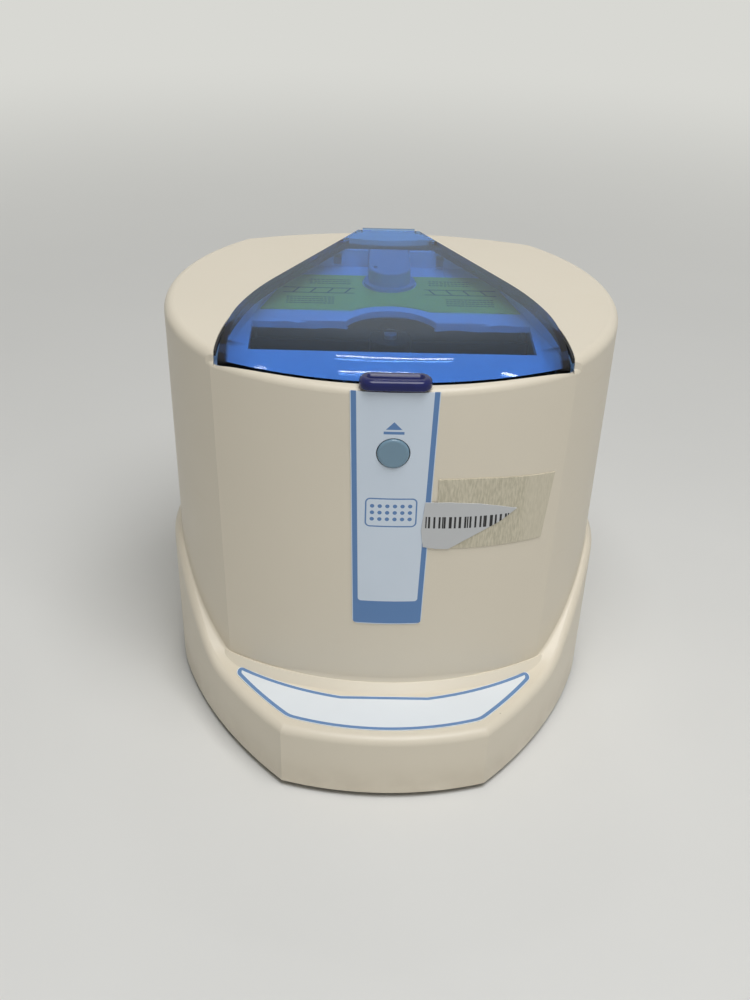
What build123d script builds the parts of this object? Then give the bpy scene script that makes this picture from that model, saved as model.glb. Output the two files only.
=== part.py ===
from build123d import *
import os
from math import acos, atan2, cos, hypot, radians, sin, sqrt, tan

# A small bench centrifuge for two microplates. The plates stand upright in a rotor that spins about a
# vertical axis. They go in through a slot in a deck under a see-through wedge-shaped lid.
# All lengths are millimetres. The pieces are built about the housing's vertical axis, X to the right,
# Y to the back and Z up, with the bench at Z = 0. save() then moves them so that the origin lies on
# the bench under the middle of the footprint.

# ---------------------------------------------------------------- driving dimensions

# Microplate and rotor with two plate carriers.
PLATE_L = 127.76
PLATE_H = 85.48
PLATE_PLAY = 1.64
PLATE_PROUD = 6.5
POCKET_IN = 12.0
POCKET_OUT = 33.0
CARRIER_T = 2.0
CARRIER_SCREW_X = 50.0
ROTOR_Y = -2.0
ROTOR_FLOOR_T = 3.0
ROTOR_FLOOR_INSET = 0.325
HUB_R = 9.8
HUB_DROP = 0.48
HUB_BOSS_R = 12.0
HUB_BOSS_H = 4.0

# Chamber round the rotor.
CHAMBER_GAP = 3.675
CHAMBER_WALL = 1.6
CHAMBER_UNDER = 8.0
CHAMBER_FLANGE_T = 2.0
CHAMBER_HOLE_R = 15.0

# Drive.
SHAFT_R = 4.0
SHAFT_BITE = 26.0
MOTOR_R = 29.0
MOTOR_H = 45.0
MOTOR_WALL = 2.5
MOTOR_CLEAR = 14.0
MOTOR_PLATE_HALF = 40.0
MOTOR_PLATE_T = 3.0
DAMPER_R = 6.0
DAMPER_H = 8.0
DAMPER_PITCH = 32.0
BEARING_R = 9.0
BEARING_W = 5.0
BEARING_SEAT_R = 12.0
STATOR_IN_R = 17.5
AIR_GAP = 1.0
MOTOR_SCREW_PITCH = 15.0

# Deck under the lid, with the loading slot.
DECK_CLEAR = 4.0
DECK_T = 3.0
DECK_MARGIN = 3.4
DECK_EAR_FRONT = 26.0
DECK_EAR_BACK = 22.0
DECK_EAR_R = 5.0
TRAY_WALL = 2.2
SLOT_MARGIN = 6.0
NOTCH_R = 23.0
NOTCH_Y = -17.4
TRAY_FRONT_Y = -47.0
TRAY_BACK_X = 47.0
WALL_SLOT_X = 26.0
WALL_SLOT_W = 4.0
WALL_SLOT_LENGTH = 12.1
WALL_SLOT_RISE = 6.6
TOWER_REACH = 22.9
TOWER_R = 10.3
TOWER_FLANGE_R = 12.7
TOWER_FLANGE_T = 1.6
TOWER_RISE = 9.0
LABEL_FRONT_Y = 5.0
LABEL_SHORT = 13.7

# Housing, a drafted shell that widens upwards: round flanks, a flatter bowed front and back.
# The corners between them are given as angles from the front and from the back.
RIM_CLEAR = 25.4
DECK_DEPTH = 12.0
FRONT_CORNER = 48.59
BACK_CORNER = 43.523
FRONT_BOW = 26.888
BACK_BOW = 13.643
DRAFT = 2.2
WALL = 3.0
RIM_ROUND = 4.5
LIP_DROP = 4.0
LIP_ROUND = 3.0
FOOT_Z = 24.0
HOUSING_SCREW_INSET = 13.9
HOUSING_SCREW_TURN = 21.0
BOSS_R = 4.8
BOSS_H = 26.0

# Base, a drafted skirt with a chin in front and a rim that climbs along both flanks.
SKIRT_Z = 3.0
BASE_PROUD = 3.876
BASE_BACK_PROUD = 11.276
BASE_BACK_CORNER = 47.03
CHIN_PROUD = 38.176
CHIN_CORNER_X = 46.6
CHIN_BOW = 8.0
FLANK_Y = 30.0
LEDGE_Z = 34.5
WING_Z = 76.0
RAMP_FRONT_Y = -70.0
RAMP_BACK_Y = -23.0
RAMP_BEND = 26.0
LEDGE_ROUND = 4.0
SEAT_T = 4.0
SEAT_REACH = 14.0
COLLAR = 4.0

# Bottom plate and feet, control board, power supply.
PLATE_Z = 4.0
PLATE_T = 2.0
FOOT_R = 9.0
FRONT_FOOT_OUT = 8.4
FRONT_FOOT_BACK = 33.8
BACK_FOOT_INSET = 16.1
BACK_FOOT_TURN = 42.2
FOOT_BOSS_R = 5.0
FOOT_BITE = 10.0
FOOT_RECESS = 1.0
BOARD_HALF = 35.0
BOARD_DEPTH = 38.0
BOARD_CHIN_GAP = 15.8
BOARD_T = 1.6
STANDOFF_H = 4.0
STANDOFF_R = 3.2
CHIP_HALF = 7.0
DRIVER_HALF = (7.0, 4.0)
PLUG_W = (12.0, 18.0)
PLUG_H = 6.0
CAPACITOR_R = (4.0, 2.5)
SUPPLY_GAP = 8.0
SUPPLY_W = 30.0
SUPPLY_HALF_Y = 22.0
SUPPLY_H = 34.0

# Lid and the opening it closes: a wedge with its narrow end at the hinge.
LID_PROUD = 3.0
LID_T = 2.6
LID_GAP = 0.8
GASKET_T = 0.9
FRONT_EDGE = 5.0
BACK_EDGE = 3.0
CORNER_EDGE = 1.9
CORNER_RUN = 3.15
OPENING_SIDE_R = 165.0
OPENING_FRONT_R = 154.9
VISOR_BOW = 41.2
VISOR_DROP = 6.6
LID_SKIRT_DROP = 6.0
HINGE_R = 5.0
HINGE_PIN_R = 1.2
KNUCKLE_HALF = 13.4
LUG_W = 6.0
BLOCK_T = 2.8
BLOCK_LENGTH = 21.0
BLOCK_ARC_R = 70.0
HINGE_SPRING_X = 11.0
HINGE_SPRING_HALF = 1.6
SPRING_WIRE_R = 0.25
HANDLE_HALF = 15.3
HANDLE_IN = 3.5
HANDLE_OUT = 2.5
HANDLE_DROP = 2.0
HANDLE_H = 4.5
GROOVE_HALF = 11.5
GROOVE_W = 2.5
GROOVE_DEPTH = 1.5

# Open button and its latch.
BUTTON_DROP = 33.8
BUTTON_R = 6.9
BUTTON_PROUD = 1.4
BUTTON_TRAVEL = 3.0
BUTTON_GAP = 0.4
BUTTON_FLANGE_R = 8.4
BUTTON_FLANGE_T = 1.5
WEDGE_HALF_X = 3.0
WEDGE_HALF_Z = 4.0
LATCH_T = 2.0
LATCH_GAP = 0.3
BRACKET_HALF = 30.0
BRACKET_UNDER = 13.2
BRACKET_OVER = 14.8
BRACKET_SCREW_X = 27.5
SLIDE_LEFT = 19.0
SLIDE_RIGHT = 17.0
SLIDE_HALF_Z = 6.2
SLIDE_SCREW_X = (-14.0, 11.2)
SLIDE_ARM_W = 6.0
HOOK_RISE = 14.3
HOOK_H = 3.3
STRIKE_HALF = 5.0
STRIKE_TIP = 2.5
STRIKE_NOTCH = 3.0
LATCH_SPRING_R = 1.2

# Back panel with the mains inlet and the switch.
PANEL_INSET = 4.4
PANEL_HALF = 32.0
PANEL_LOW_Z = 13.0
PANEL_HIGH_Z = 59.0
PANEL_T = 2.0
PANEL_RIM = 6.0
PANEL_BOSS = 4.0
PANEL_SCREW_INSET = 3.4
PANEL_SCREW_BITE = 3.8
INLET_X = -10.5
INLET_HALF = 13.0
INLET_LOW_Z = 19.0
INLET_HIGH_Z = 53.0
INLET_LENGTH = 26.0
SOCKET_HALF = 11.5
SOCKET_LOW_Z = 34.0
SOCKET_HIGH_Z = 50.5
SOCKET_DEPTH = 17.0
FUSE_HALF = 8.0
FUSE_LOW_Z = 22.0
FUSE_HIGH_Z = 28.5
FUSE_LENGTH = 20.0
FUSE_R = 2.4
FUSE_CLIP = 15.0
PIN_LENGTH = 11.5
SWITCH_X = 17.0
SWITCH_Z = 36.0
SWITCH_HALF_X = 6.4
SWITCH_HALF_Z = 10.5
ROCKER_HALF_X = 4.9
ROCKER_R = 8.2
ROCKER_FACE = 4.4
ROCKER_TILT = 12.0
ROCKER_PIN_R = 1.0
FLANGE_T = 2.0

# Sheets on the outside: front panel, base label, asset label and a strip of tape. The outlines of
# the last two are given as X and Z from the button's centre.
SHEET_T = 0.4
PANEL_SHEET_TOP_HALF = 19.0
PANEL_SHEET_LOW_HALF = 15.6
PANEL_SHEET_MARGIN = 5.0
PANEL_SHEET_H = 118.0
PANEL_SHEET_ROUND = 2.5
BASE_SHEET_EDGE = 5.0
BASE_SHEET_GAP = 0.5
BASE_SHEET_FLAT = 20.0
BASE_SHEET_CORNER = (2.1, 5.8)
BASE_SHEET_TIP = ((65.0, -80.6), (68.4, -83.4))
BASE_SHEET_BOW = 2.2
BASE_SHEET_ROUND = 2.0
ASSET_OUTLINE = (
    (14.8, -24.5), (25.6, -25.2), (39.0, -27.4), (48.3, -30.2), (56.3, -33.1), (48.9, -38.1),
    (40.0, -42.1), (33.4, -45.3), (26.0, -49.2), (20.2, -48.6), (14.6, -47.3), (13.5, -38.8),
)
TAPE_OUTLINE = ((20.2, -13.6), (38.2, -14.6), (73.2, -19.7), (69.2, -52.4), (26.9, -49.3), (20.2, -40.0))

# Fits and clearances.
FIT = 0.15
RUN_FIT = 0.05
GLUE = 0.1
SCREW_R = 1.5
SCREW_HEAD_R = 3.0
SCREW_HEAD_H = 2.0
SCREW_TIP = 6.0

# ---------------------------------------------------------------- values worked out from them

SLOPE = tan(radians(DRAFT))

# Heights, one on top of the other from the bench up.
PLATE_TOP_Z = PLATE_Z + PLATE_T
MOTOR_PLATE_Z = PLATE_TOP_Z + DAMPER_H
MOTOR_Z = MOTOR_PLATE_Z + MOTOR_PLATE_T
MOTOR_TOP_Z = MOTOR_Z + MOTOR_H
CHAMBER_FLOOR_Z = MOTOR_TOP_Z + MOTOR_CLEAR
ROTOR_FLOOR_Z = CHAMBER_FLOOR_Z + CHAMBER_UNDER
SHAFT_TOP_Z = ROTOR_FLOOR_Z + SHAFT_BITE
CARRIER_FLOOR_Z = ROTOR_FLOOR_Z + ROTOR_FLOOR_T
PLATE_END_Z = CARRIER_FLOOR_Z + CARRIER_T + PLATE_H
CARRIER_TOP_Z = PLATE_END_Z - PLATE_PROUD
HUB_TOP_Z = PLATE_END_Z - HUB_DROP
DECK_LOW_Z = HUB_TOP_Z + SCREW_HEAD_H + DECK_CLEAR
DECK_Z = DECK_LOW_Z + DECK_T
RIM_Z = DECK_Z + DECK_DEPTH
CEILING_Z = RIM_Z - WALL
LIP_Z = RIM_Z - LIP_DROP
LID_TOP_Z = RIM_Z + LID_PROUD
LID_LOW_Z = LID_TOP_Z - LID_T
LID_SKIRT_Z = LID_TOP_Z - LID_SKIRT_DROP
TOWER_TOP_Z = DECK_Z + TOWER_RISE

# Rotor, chamber and housing in plan, one round the other.
POCKET_HALF = (PLATE_L + PLATE_PLAY) / 2
CARRIER_HALF = POCKET_HALF + CARRIER_T
ROTOR_REACH = hypot(CARRIER_HALF, POCKET_OUT + CARRIER_T)
ROTOR_FLOOR_R = ROTOR_REACH - ROTOR_FLOOR_INSET
CHAMBER_R = ROTOR_REACH + CHAMBER_GAP
CHAMBER_OUT_R = CHAMBER_R + CHAMBER_WALL
DECK_R = CHAMBER_OUT_R + DECK_MARGIN
MAGNET_R = STATOR_IN_R - AIR_GAP
SLOT_HALF = POCKET_HALF
SLOT_FRONT = POCKET_OUT - ROTOR_Y + SLOT_MARGIN
SLOT_BACK = POCKET_IN - ROTOR_Y - SLOT_MARGIN
RIM_R = CHAMBER_OUT_R + RIM_CLEAR
FRONT_CORNER_X = RIM_R * sin(radians(FRONT_CORNER))
FRONT_CORNER_Y = RIM_R * cos(radians(FRONT_CORNER))
BACK_CORNER_X = RIM_R * sin(radians(BACK_CORNER))
RIM_FRONT = FRONT_CORNER_Y + FRONT_BOW
RIM_BACK = RIM_R * cos(radians(BACK_CORNER)) + BACK_BOW
SKIRT_DROP = (RIM_Z - SKIRT_Z) * SLOPE
BASE_R = RIM_R - SKIRT_DROP + BASE_PROUD
BASE_BACK = RIM_BACK - SKIRT_DROP + BASE_BACK_PROUD
BASE_BACK_CORNER_X = BASE_R * sin(radians(BASE_BACK_CORNER))
CHIN_FRONT = RIM_FRONT - SKIRT_DROP + CHIN_PROUD
CHIN_CORNER_Y = CHIN_FRONT - CHIN_BOW
CHIN_REACH = CHIN_FRONT + (LEDGE_Z - LEDGE_ROUND - SKIRT_Z) * SLOPE
BACK_REACH = BASE_BACK + (WING_Z - LEDGE_ROUND - SKIRT_Z) * SLOPE
FRAME_Y = (CHIN_REACH - BACK_REACH) / 2
PANEL_Y = BASE_BACK - PANEL_INSET
INLET_FRONT_Y = PANEL_Y - INLET_LENGTH

# Opening, lid and hinge.
OPENING_FRONT = RIM_FRONT - FRONT_EDGE
OPENING_BACK = RIM_BACK - BACK_EDGE
VISOR_CENTRE_Y = OPENING_FRONT_R - OPENING_FRONT
OPENING_CORNER_X = FRONT_CORNER_X - CORNER_EDGE
OPENING_ARC_END_Y = sqrt(OPENING_FRONT_R**2 - OPENING_CORNER_X**2) - VISOR_CENTRE_Y
OPENING_CORNER_Y = OPENING_ARC_END_Y - CORNER_RUN
LID_INSET = GASKET_T + LID_GAP
LID_FRONT_R = OPENING_FRONT_R - LID_INSET
VISOR_FLAT_R = LID_FRONT_R - VISOR_BOW
HINGE_Z = LID_TOP_Z - HINGE_R
HINGE_Y = OPENING_BACK - HINGE_R / 2
LUG_FRONT_Y = HINGE_Y - HINGE_PIN_R - 1.9
ROLL_R = HINGE_R - LID_T
KNUCKLE_R = ROLL_R - GLUE
LID_BACK_Y = HINGE_Y - ROLL_R - GLUE
NOTCH_HALF = KNUCKLE_HALF + LID_GAP
OPENING_BACK_X = NOTCH_HALF + 4 * FIT
BLOCK_FRONT_Y = RIM_BACK - BLOCK_LENGTH
BLOCK_BACK_Y = LUG_FRONT_Y - 1.4
BLOCK_TOP_Z = LID_LOW_Z - GLUE
LID_SKIRT_BACK = BLOCK_FRONT_Y - 0.5
HANDLE_BACK = OPENING_FRONT - HANDLE_IN
HANDLE_FRONT = RIM_FRONT + HANDLE_OUT
HANDLE_TOP_Z = LID_TOP_Z - HANDLE_DROP
HANDLE_LOW_Z = HANDLE_TOP_Z - HANDLE_H

# Tray and what stands on the deck.
TRAY_FRONT_X = OPENING_CORNER_X - 4 * FIT
TRAY_BACK_Y = BLOCK_FRONT_Y - 5.0
WALL_SLOT_FRONT_Y = TRAY_BACK_Y - WALL_SLOT_LENGTH
WALL_SLOT_TOP_Z = DECK_Z + WALL_SLOT_RISE
TOWER_Y = TRAY_BACK_Y - TOWER_REACH
LABEL_BACK_Y = TRAY_BACK_Y - LABEL_SHORT

# Patterns of screws, bosses and feet.
SIDES = (-1, 1)
DECK_EARS = [(side * DECK_R, y) for side in SIDES for y in (-DECK_EAR_FRONT, DECK_EAR_BACK)]
SCREW_REACH = RIM_R - HOUSING_SCREW_INSET
SCREW_X = SCREW_REACH * cos(radians(HOUSING_SCREW_TURN))
SCREW_Y = SCREW_REACH * sin(radians(HOUSING_SCREW_TURN))
HOUSING_SCREWS = [(side * SCREW_X, y * SCREW_Y) for side in SIDES for y in SIDES]
FOOT_REACH = BASE_R - BACK_FOOT_INSET
BACK_FOOT = (FOOT_REACH * cos(radians(BACK_FOOT_TURN)), FOOT_REACH * sin(radians(BACK_FOOT_TURN)))
FRONT_FOOT = (CHIN_CORNER_X + FRONT_FOOT_OUT, FRONT_FOOT_BACK - CHIN_CORNER_Y)
FEET = [(side * foot[0], foot[1]) for side in SIDES for foot in (FRONT_FOOT, BACK_FOOT)]
DAMPERS = [(x * DAMPER_PITCH, ROTOR_Y + y * DAMPER_PITCH) for x in SIDES for y in SIDES]
BOARD_FRONT = BOARD_CHIN_GAP - CHIN_FRONT
BOARD_BACK = BOARD_FRONT + BOARD_DEPTH
SUPPLY_X = (MOTOR_PLATE_HALF + SUPPLY_GAP, MOTOR_PLATE_HALF + SUPPLY_GAP + SUPPLY_W)

# Heights of the latch, and its depths one behind the other from the front wall inwards.
BUTTON_Z = RIM_Z - BUTTON_DROP
BRACKET_LOW_Z = BUTTON_Z - BRACKET_UNDER
BRACKET_TOP_Z = BUTTON_Z + BRACKET_OVER
SLIDE_LOW_Z = BUTTON_Z - SLIDE_HALF_Z
SLIDE_TOP_Z = BUTTON_Z + SLIDE_HALF_Z
HOOK_LOW_Z = BUTTON_Z + HOOK_RISE
HOOK_TOP_Z = HOOK_LOW_Z + HOOK_H
STRIKE_LOW_Z = HOOK_LOW_Z - STRIKE_TIP
FRONT_INNER_Y = WALL - RIM_FRONT + (RIM_Z - BUTTON_Z) * SLOPE
FLANGE_Y = FRONT_INNER_Y + BUTTON_FLANGE_R * SLOPE + 2 * LATCH_GAP
FLANGE_BACK_Y = FLANGE_Y + BUTTON_FLANGE_T
BRACKET_Y = FLANGE_BACK_Y + BUTTON_TRAVEL - LATCH_T
BRACKET_BACK_Y = BRACKET_Y + LATCH_T
SLIDE_Y = BRACKET_BACK_Y + LATCH_GAP
SLIDE_BACK_Y = SLIDE_Y + LATCH_T
WEDGE_TIP_Y = SLIDE_Y + 0.9


# ---------------------------------------------------------------- outlines


def housing_plan(z, inset=0.0):
    """Face across the housing at height z, set in from the outer wall by inset."""
    shrink = (RIM_Z - z) * SLOPE + inset
    r = RIM_R - shrink
    front_x = FRONT_CORNER_X - shrink
    back_x = BACK_CORNER_X - shrink
    front_y = -sqrt(r * r - front_x * front_x)
    back_y = sqrt(r * r - back_x * back_x)
    front = ThreePointArc((-front_x, front_y), (0, shrink - RIM_FRONT), (front_x, front_y))
    right = ThreePointArc((front_x, front_y), (r, 0), (back_x, back_y))
    back = ThreePointArc((back_x, back_y), (0, RIM_BACK - shrink), (-back_x, back_y))
    left = ThreePointArc((-back_x, back_y), (-r, 0), (-front_x, front_y))
    return Pos(0, 0, z) * make_face(front + right + back + left)


def housing_block(low, high, inset=0.0):
    """Drafted solid that follows the housing's wall between two heights."""
    return loft([housing_plan(low, inset), housing_plan(high, inset)], ruled=True)


def front_face_y(x, z):
    """Y of the housing's outer front face at a given place."""
    shrink = (RIM_Z - z) * SLOPE
    corner_x = FRONT_CORNER_X - shrink
    corner_y = -sqrt((RIM_R - shrink) ** 2 - corner_x * corner_x)
    middle_y = shrink - RIM_FRONT
    rise = corner_y - middle_y
    r = (corner_x**2 + rise**2) / (2 * rise)
    return middle_y + r - sqrt(r * r - x * x)


def base_plan(z, inset=0.0):
    """Face across the base at height z, set in from the outer wall by inset."""
    grow = (z - SKIRT_Z) * SLOPE - inset
    r = BASE_R + grow
    flank_y = -FLANK_Y
    flank_x = sqrt(r * r - flank_y * flank_y)
    back_x = BASE_BACK_CORNER_X + grow
    back_y = sqrt(r * r - back_x * back_x)
    chin_x = CHIN_CORNER_X + grow / 2
    chin_y = -CHIN_CORNER_Y - grow
    chin = ThreePointArc((-chin_x, chin_y), (0, -CHIN_FRONT - grow), (chin_x, chin_y))
    right_cheek = TangentArc((flank_x, flank_y), (chin_x, chin_y), tangent=(flank_y, -flank_x))
    left_cheek = TangentArc((-flank_x, flank_y), (-chin_x, chin_y), tangent=(-flank_y, -flank_x))
    right = ThreePointArc((flank_x, flank_y), (r, 0), (back_x, back_y))
    left = ThreePointArc((-back_x, back_y), (-r, 0), (-flank_x, flank_y))
    back = ThreePointArc((back_x, back_y), (0, BASE_BACK + grow), (-back_x, back_y))
    return Pos(0, 0, z) * make_face(chin + right_cheek + right + back + left + left_cheek)


def base_block(low, high, inset=0.0):
    """Drafted solid that follows the base's wall between two heights."""
    return loft([base_plan(low, inset), base_plan(high, inset)], ruled=True)


def under_ramp(drop):
    """Everything under the base's top surface lowered by drop: flat ledge, ramp, flat wings."""
    reach = 2 * BASE_R
    ledge = LEDGE_Z - drop
    wing = WING_Z - drop
    top = FilletPolyline(
        (0, -reach, ledge),
        (0, RAMP_FRONT_Y, ledge),
        (0, RAMP_BACK_Y, wing),
        (0, reach, wing),
        radius=RAMP_BEND,
    )
    rest = Polyline((0, reach, wing), (0, reach, -1), (0, -reach, -1), (0, -reach, ledge))
    side = make_face(top + rest)
    return Pos(-reach, 0, 0) * extrude(side, 2 * reach, dir=(1, 0, 0))


def opening_plan(grow=0.0):
    """Plan of the wedge-shaped opening, grown outwards by grow: a straight stretch and a
    tangent arc along each side, a bowed front and a straight back."""
    side_r = OPENING_SIDE_R + grow
    centre_x = OPENING_CORNER_X - OPENING_SIDE_R
    centre_y = -OPENING_CORNER_Y
    corner_angle = atan2(OPENING_BACK - centre_y, OPENING_BACK_X - centre_x)
    corner_reach = hypot(OPENING_BACK_X - centre_x, OPENING_BACK - centre_y)
    touch = corner_angle - acos(OPENING_SIDE_R / corner_reach)
    touch_x = centre_x + side_r * cos(touch)
    touch_y = centre_y + side_r * sin(touch)
    back_y = OPENING_BACK + grow
    back_x = touch_x - (back_y - touch_y) * tan(touch)
    corner_x = OPENING_CORNER_X + grow
    front_r = OPENING_FRONT_R + grow
    front_y = VISOR_CENTRE_Y - sqrt(front_r * front_r - corner_x * corner_x)
    middle_x = centre_x + side_r * cos(touch / 2)
    middle_y = centre_y + side_r * sin(touch / 2)
    outline = ThreePointArc((-corner_x, front_y), (0, VISOR_CENTRE_Y - front_r), (corner_x, front_y))
    outline += Line((corner_x, front_y), (corner_x, centre_y))
    outline += ThreePointArc((corner_x, centre_y), (middle_x, middle_y), (touch_x, touch_y))
    outline += Line((touch_x, touch_y), (back_x, back_y))
    outline += Line((back_x, back_y), (-back_x, back_y))
    outline += Line((-back_x, back_y), (-touch_x, touch_y))
    outline += ThreePointArc((-touch_x, touch_y), (-middle_x, middle_y), (-corner_x, centre_y))
    outline += Line((-corner_x, centre_y), (-corner_x, front_y))
    return make_face(outline)


def opening_block(low, high, grow=0.0):
    """Upright prism of the opening's plan between two heights."""
    return Pos(0, 0, low) * extrude(opening_plan(grow), high - low)


def under_visor(drop):
    """Everything under the lid's top surface lowered by drop: flat, then bowed down at the front."""
    span = LID_FRONT_R - VISOR_FLAT_R
    bow = (span * span + VISOR_DROP * VISOR_DROP) / (2 * VISOR_DROP)
    r = bow - drop
    end = LID_FRONT_R + 2
    centre_z = LID_TOP_Z - bow
    end_z = centre_z + sqrt(r * r - (end - VISOR_FLAT_R) ** 2)
    half = (end - VISOR_FLAT_R) / 2
    middle_z = centre_z + sqrt(r * r - half * half)
    low = STRIKE_LOW_Z - 5
    top_z = LID_TOP_Z - drop
    outline = Line((0, 0, low), (end, 0, low)) + Line((end, 0, low), (end, 0, end_z))
    outline += ThreePointArc((end, 0, end_z), (VISOR_FLAT_R + half, 0, middle_z), (VISOR_FLAT_R, 0, top_z))
    outline += Line((VISOR_FLAT_R, 0, top_z), (0, 0, top_z)) + Line((0, 0, top_z), (0, 0, low))
    return Pos(0, VISOR_CENTRE_Y, 0) * revolve(make_face(outline), Axis.Z, 360)


# ---------------------------------------------------------------- small shapes


def block(x0, x1, y0, y1, z0, z1):
    """Box between two corners."""
    return Pos((x0 + x1) / 2, (y0 + y1) / 2, (z0 + z1) / 2) * Box(x1 - x0, y1 - y0, z1 - z0)


def rod(x, y, z0, z1, r):
    """Upright cylinder."""
    return Pos(x, y, (z0 + z1) / 2) * Cylinder(r, z1 - z0)


def rod_x(x0, x1, y, z, r):
    """Cylinder that lies along X."""
    return Pos((x0 + x1) / 2, y, z) * Rot(0, 90, 0) * Cylinder(r, x1 - x0)


def rod_y(x, y0, y1, z, r):
    """Cylinder that lies along Y."""
    return Pos(x, (y0 + y1) / 2, z) * Rot(90, 0, 0) * Cylinder(r, y1 - y0)


def tube(x, y, z0, z1, r_out, r_in):
    """Upright pipe."""
    return rod(x, y, z0, z1, r_out) - rod(x, y, z0 - 1, z1 + 1, r_in)


def slab(x, z, half_x, half_z, y0, y1, corner):
    """Plate that faces along Y, with rounded corners."""
    face = Rectangle(2 * half_x, 2 * half_z)
    if corner > 0:
        face = RectangleRounded(2 * half_x, 2 * half_z, corner)
    return Pos(x, y1, z) * Rot(90, 0, 0) * extrude(face, y1 - y0)


def group(pieces):
    """Separate solids that share one node."""
    return [solid for piece in pieces for solid in piece.solids()]


def save(name, shape):
    """Move a finished piece to the part's own origin and write it."""
    solids = shape if isinstance(shape, list) else shape.solids()
    moved = [Pos(0, FRAME_Y, 0) * solid for solid in solids]
    export_step(moved[0] if len(moved) == 1 else Compound(children=moved), f"parts/{name}.step")


def screw_up(x, y, head_z, tip_z):
    """Screw driven upwards: its head hangs below head_z."""
    return rod(x, y, head_z - SCREW_HEAD_H, head_z, SCREW_HEAD_R) + rod(x, y, head_z, tip_z, SCREW_R)


def screw_down(x, y, head_z, tip_z):
    """Screw driven downwards: its head stands above head_z."""
    return rod(x, y, head_z, head_z + SCREW_HEAD_H, SCREW_HEAD_R) + rod(x, y, tip_z, head_z, SCREW_R)


def drill(x, y, z0, z1):
    """Hole for an upright screw."""
    return rod(x, y, z0, z1, SCREW_R + RUN_FIT)


def drill_y(x, y0, y1, z):
    """Hole for a screw that lies along Y."""
    return rod_y(x, y0, y1, z, SCREW_R + RUN_FIT)


def top_rounded(solid, radius):
    """Round the edges of a solid's top face."""
    return fillet(solid.faces().sort_by(Axis.Z)[-1].edges(), radius)


def coil(x0, y, z, length, mean_r, wire_r, turns):
    """Coil spring that lies along X from x0."""
    path = Helix(length / turns, length, mean_r)
    wire = Plane(path @ 0, z_dir=path % 0) * Circle(wire_r)
    return Pos(x0, y, z) * Rot(0, 90, 0) * sweep(wire, path=path, is_frenet=True)


# ---------------------------------------------------------------- housing


def front_ring(low, high, r_in):
    """The housing's front beyond a given distance from the visor's centre."""
    ring = tube(0, VISOR_CENTRE_Y, low, high, 2 * OPENING_FRONT_R, r_in)
    return ring & block(-RIM_R, RIM_R, -RIM_R, 1 - OPENING_CORNER_Y, low - 1, high + 1)


BRACKET_SCREW_Z = (BRACKET_LOW_Z + 5, BRACKET_TOP_Z - 5)
BRACKET_SCREWS = [(side * BRACKET_SCREW_X, z) for side in SIDES for z in BRACKET_SCREW_Z]
BRACKET_TIP_Y = {z: front_face_y(BRACKET_SCREW_X, z) + WALL / 3 for z in BRACKET_SCREW_Z}
APERTURE_X = PANEL_HALF - PANEL_RIM
APERTURE_Z = (PANEL_LOW_Z + PANEL_BOSS, PANEL_HIGH_Z - PANEL_BOSS)


def make_upper_housing():
    full = housing_block(FOOT_Z, RIM_Z)
    low_front = top_rounded(full & block(-RIM_R, RIM_R, -RIM_R, RIM_R, FOOT_Z, LIP_Z), LIP_ROUND)
    full = top_rounded(full, RIM_ROUND) - front_ring(LIP_Z - LIP_ROUND - 1, RIM_Z + 1, OPENING_FRONT_R - 1)
    shell = full + low_front
    cavity = housing_block(FOOT_Z - 1, CEILING_Z, WALL)
    cavity -= front_ring(LIP_Z - WALL, RIM_Z, OPENING_FRONT_R)
    shell -= cavity
    shell -= opening_block(LIP_Z - WALL, RIM_Z + 1) & block(
        -RIM_R, RIM_R, -RIM_R, LUG_FRONT_Y, LIP_Z - WALL - 1, RIM_Z + 2
    )
    # Lugs for the hinge pin on both sides of a notch that is open to the back.
    lug_half = NOTCH_HALF + LUG_W
    lug_low = HINGE_Z - HINGE_PIN_R - WALL
    shell += block(-lug_half, lug_half, LUG_FRONT_Y, HINGE_Y + HINGE_PIN_R + 2, lug_low, RIM_Z - WALL / 2)
    notch_r = HINGE_R + LID_GAP
    shell -= block(-NOTCH_HALF, NOTCH_HALF, LUG_FRONT_Y - 1, HINGE_Y, lug_low - 1, RIM_Z + 1)
    shell -= rod_x(-NOTCH_HALF, NOTCH_HALF, HINGE_Y, HINGE_Z, notch_r)
    shell -= block(-NOTCH_HALF, NOTCH_HALF, HINGE_Y, HINGE_Y + notch_r, HINGE_Z, RIM_Z + 1)
    shell -= rod_x(-lug_half, lug_half, HINGE_Y, HINGE_Z, HINGE_PIN_R)
    # Bosses for the screws from the base and for the screws that carry deck and chamber.
    inside = housing_block(FOOT_Z, RIM_Z, WALL / 2)
    for x, y in HOUSING_SCREWS:
        shell += rod(x, y, FOOT_Z, FOOT_Z + BOSS_H, BOSS_R) & inside
        shell -= drill(x, y, FOOT_Z - 1, FOOT_Z + BOSS_H - SCREW_TIP)
    for x, y in DECK_EARS:
        shell += rod(x, y, DECK_Z, RIM_Z - WALL / 2, DECK_EAR_R - 1)
        shell -= drill(x, y, DECK_Z - 1, DECK_Z + SCREW_TIP + 1)
    # Button hole, blind holes for the latch bracket, window for the mains inlet.
    shell -= rod_y(0, FRONT_INNER_Y - 2 * WALL, FRONT_INNER_Y + 1, BUTTON_Z, BUTTON_R + BUTTON_GAP)
    for x, z in BRACKET_SCREWS:
        shell -= drill_y(x, BRACKET_TIP_Y[z], BRACKET_BACK_Y, z)
    shell -= block(-APERTURE_X, APERTURE_X, INLET_FRONT_Y, RIM_R, FOOT_Z - 1, APERTURE_Z[1])
    return shell


os.makedirs("parts", exist_ok=True)


# ---------------------------------------------------------------- base and bottom

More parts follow.
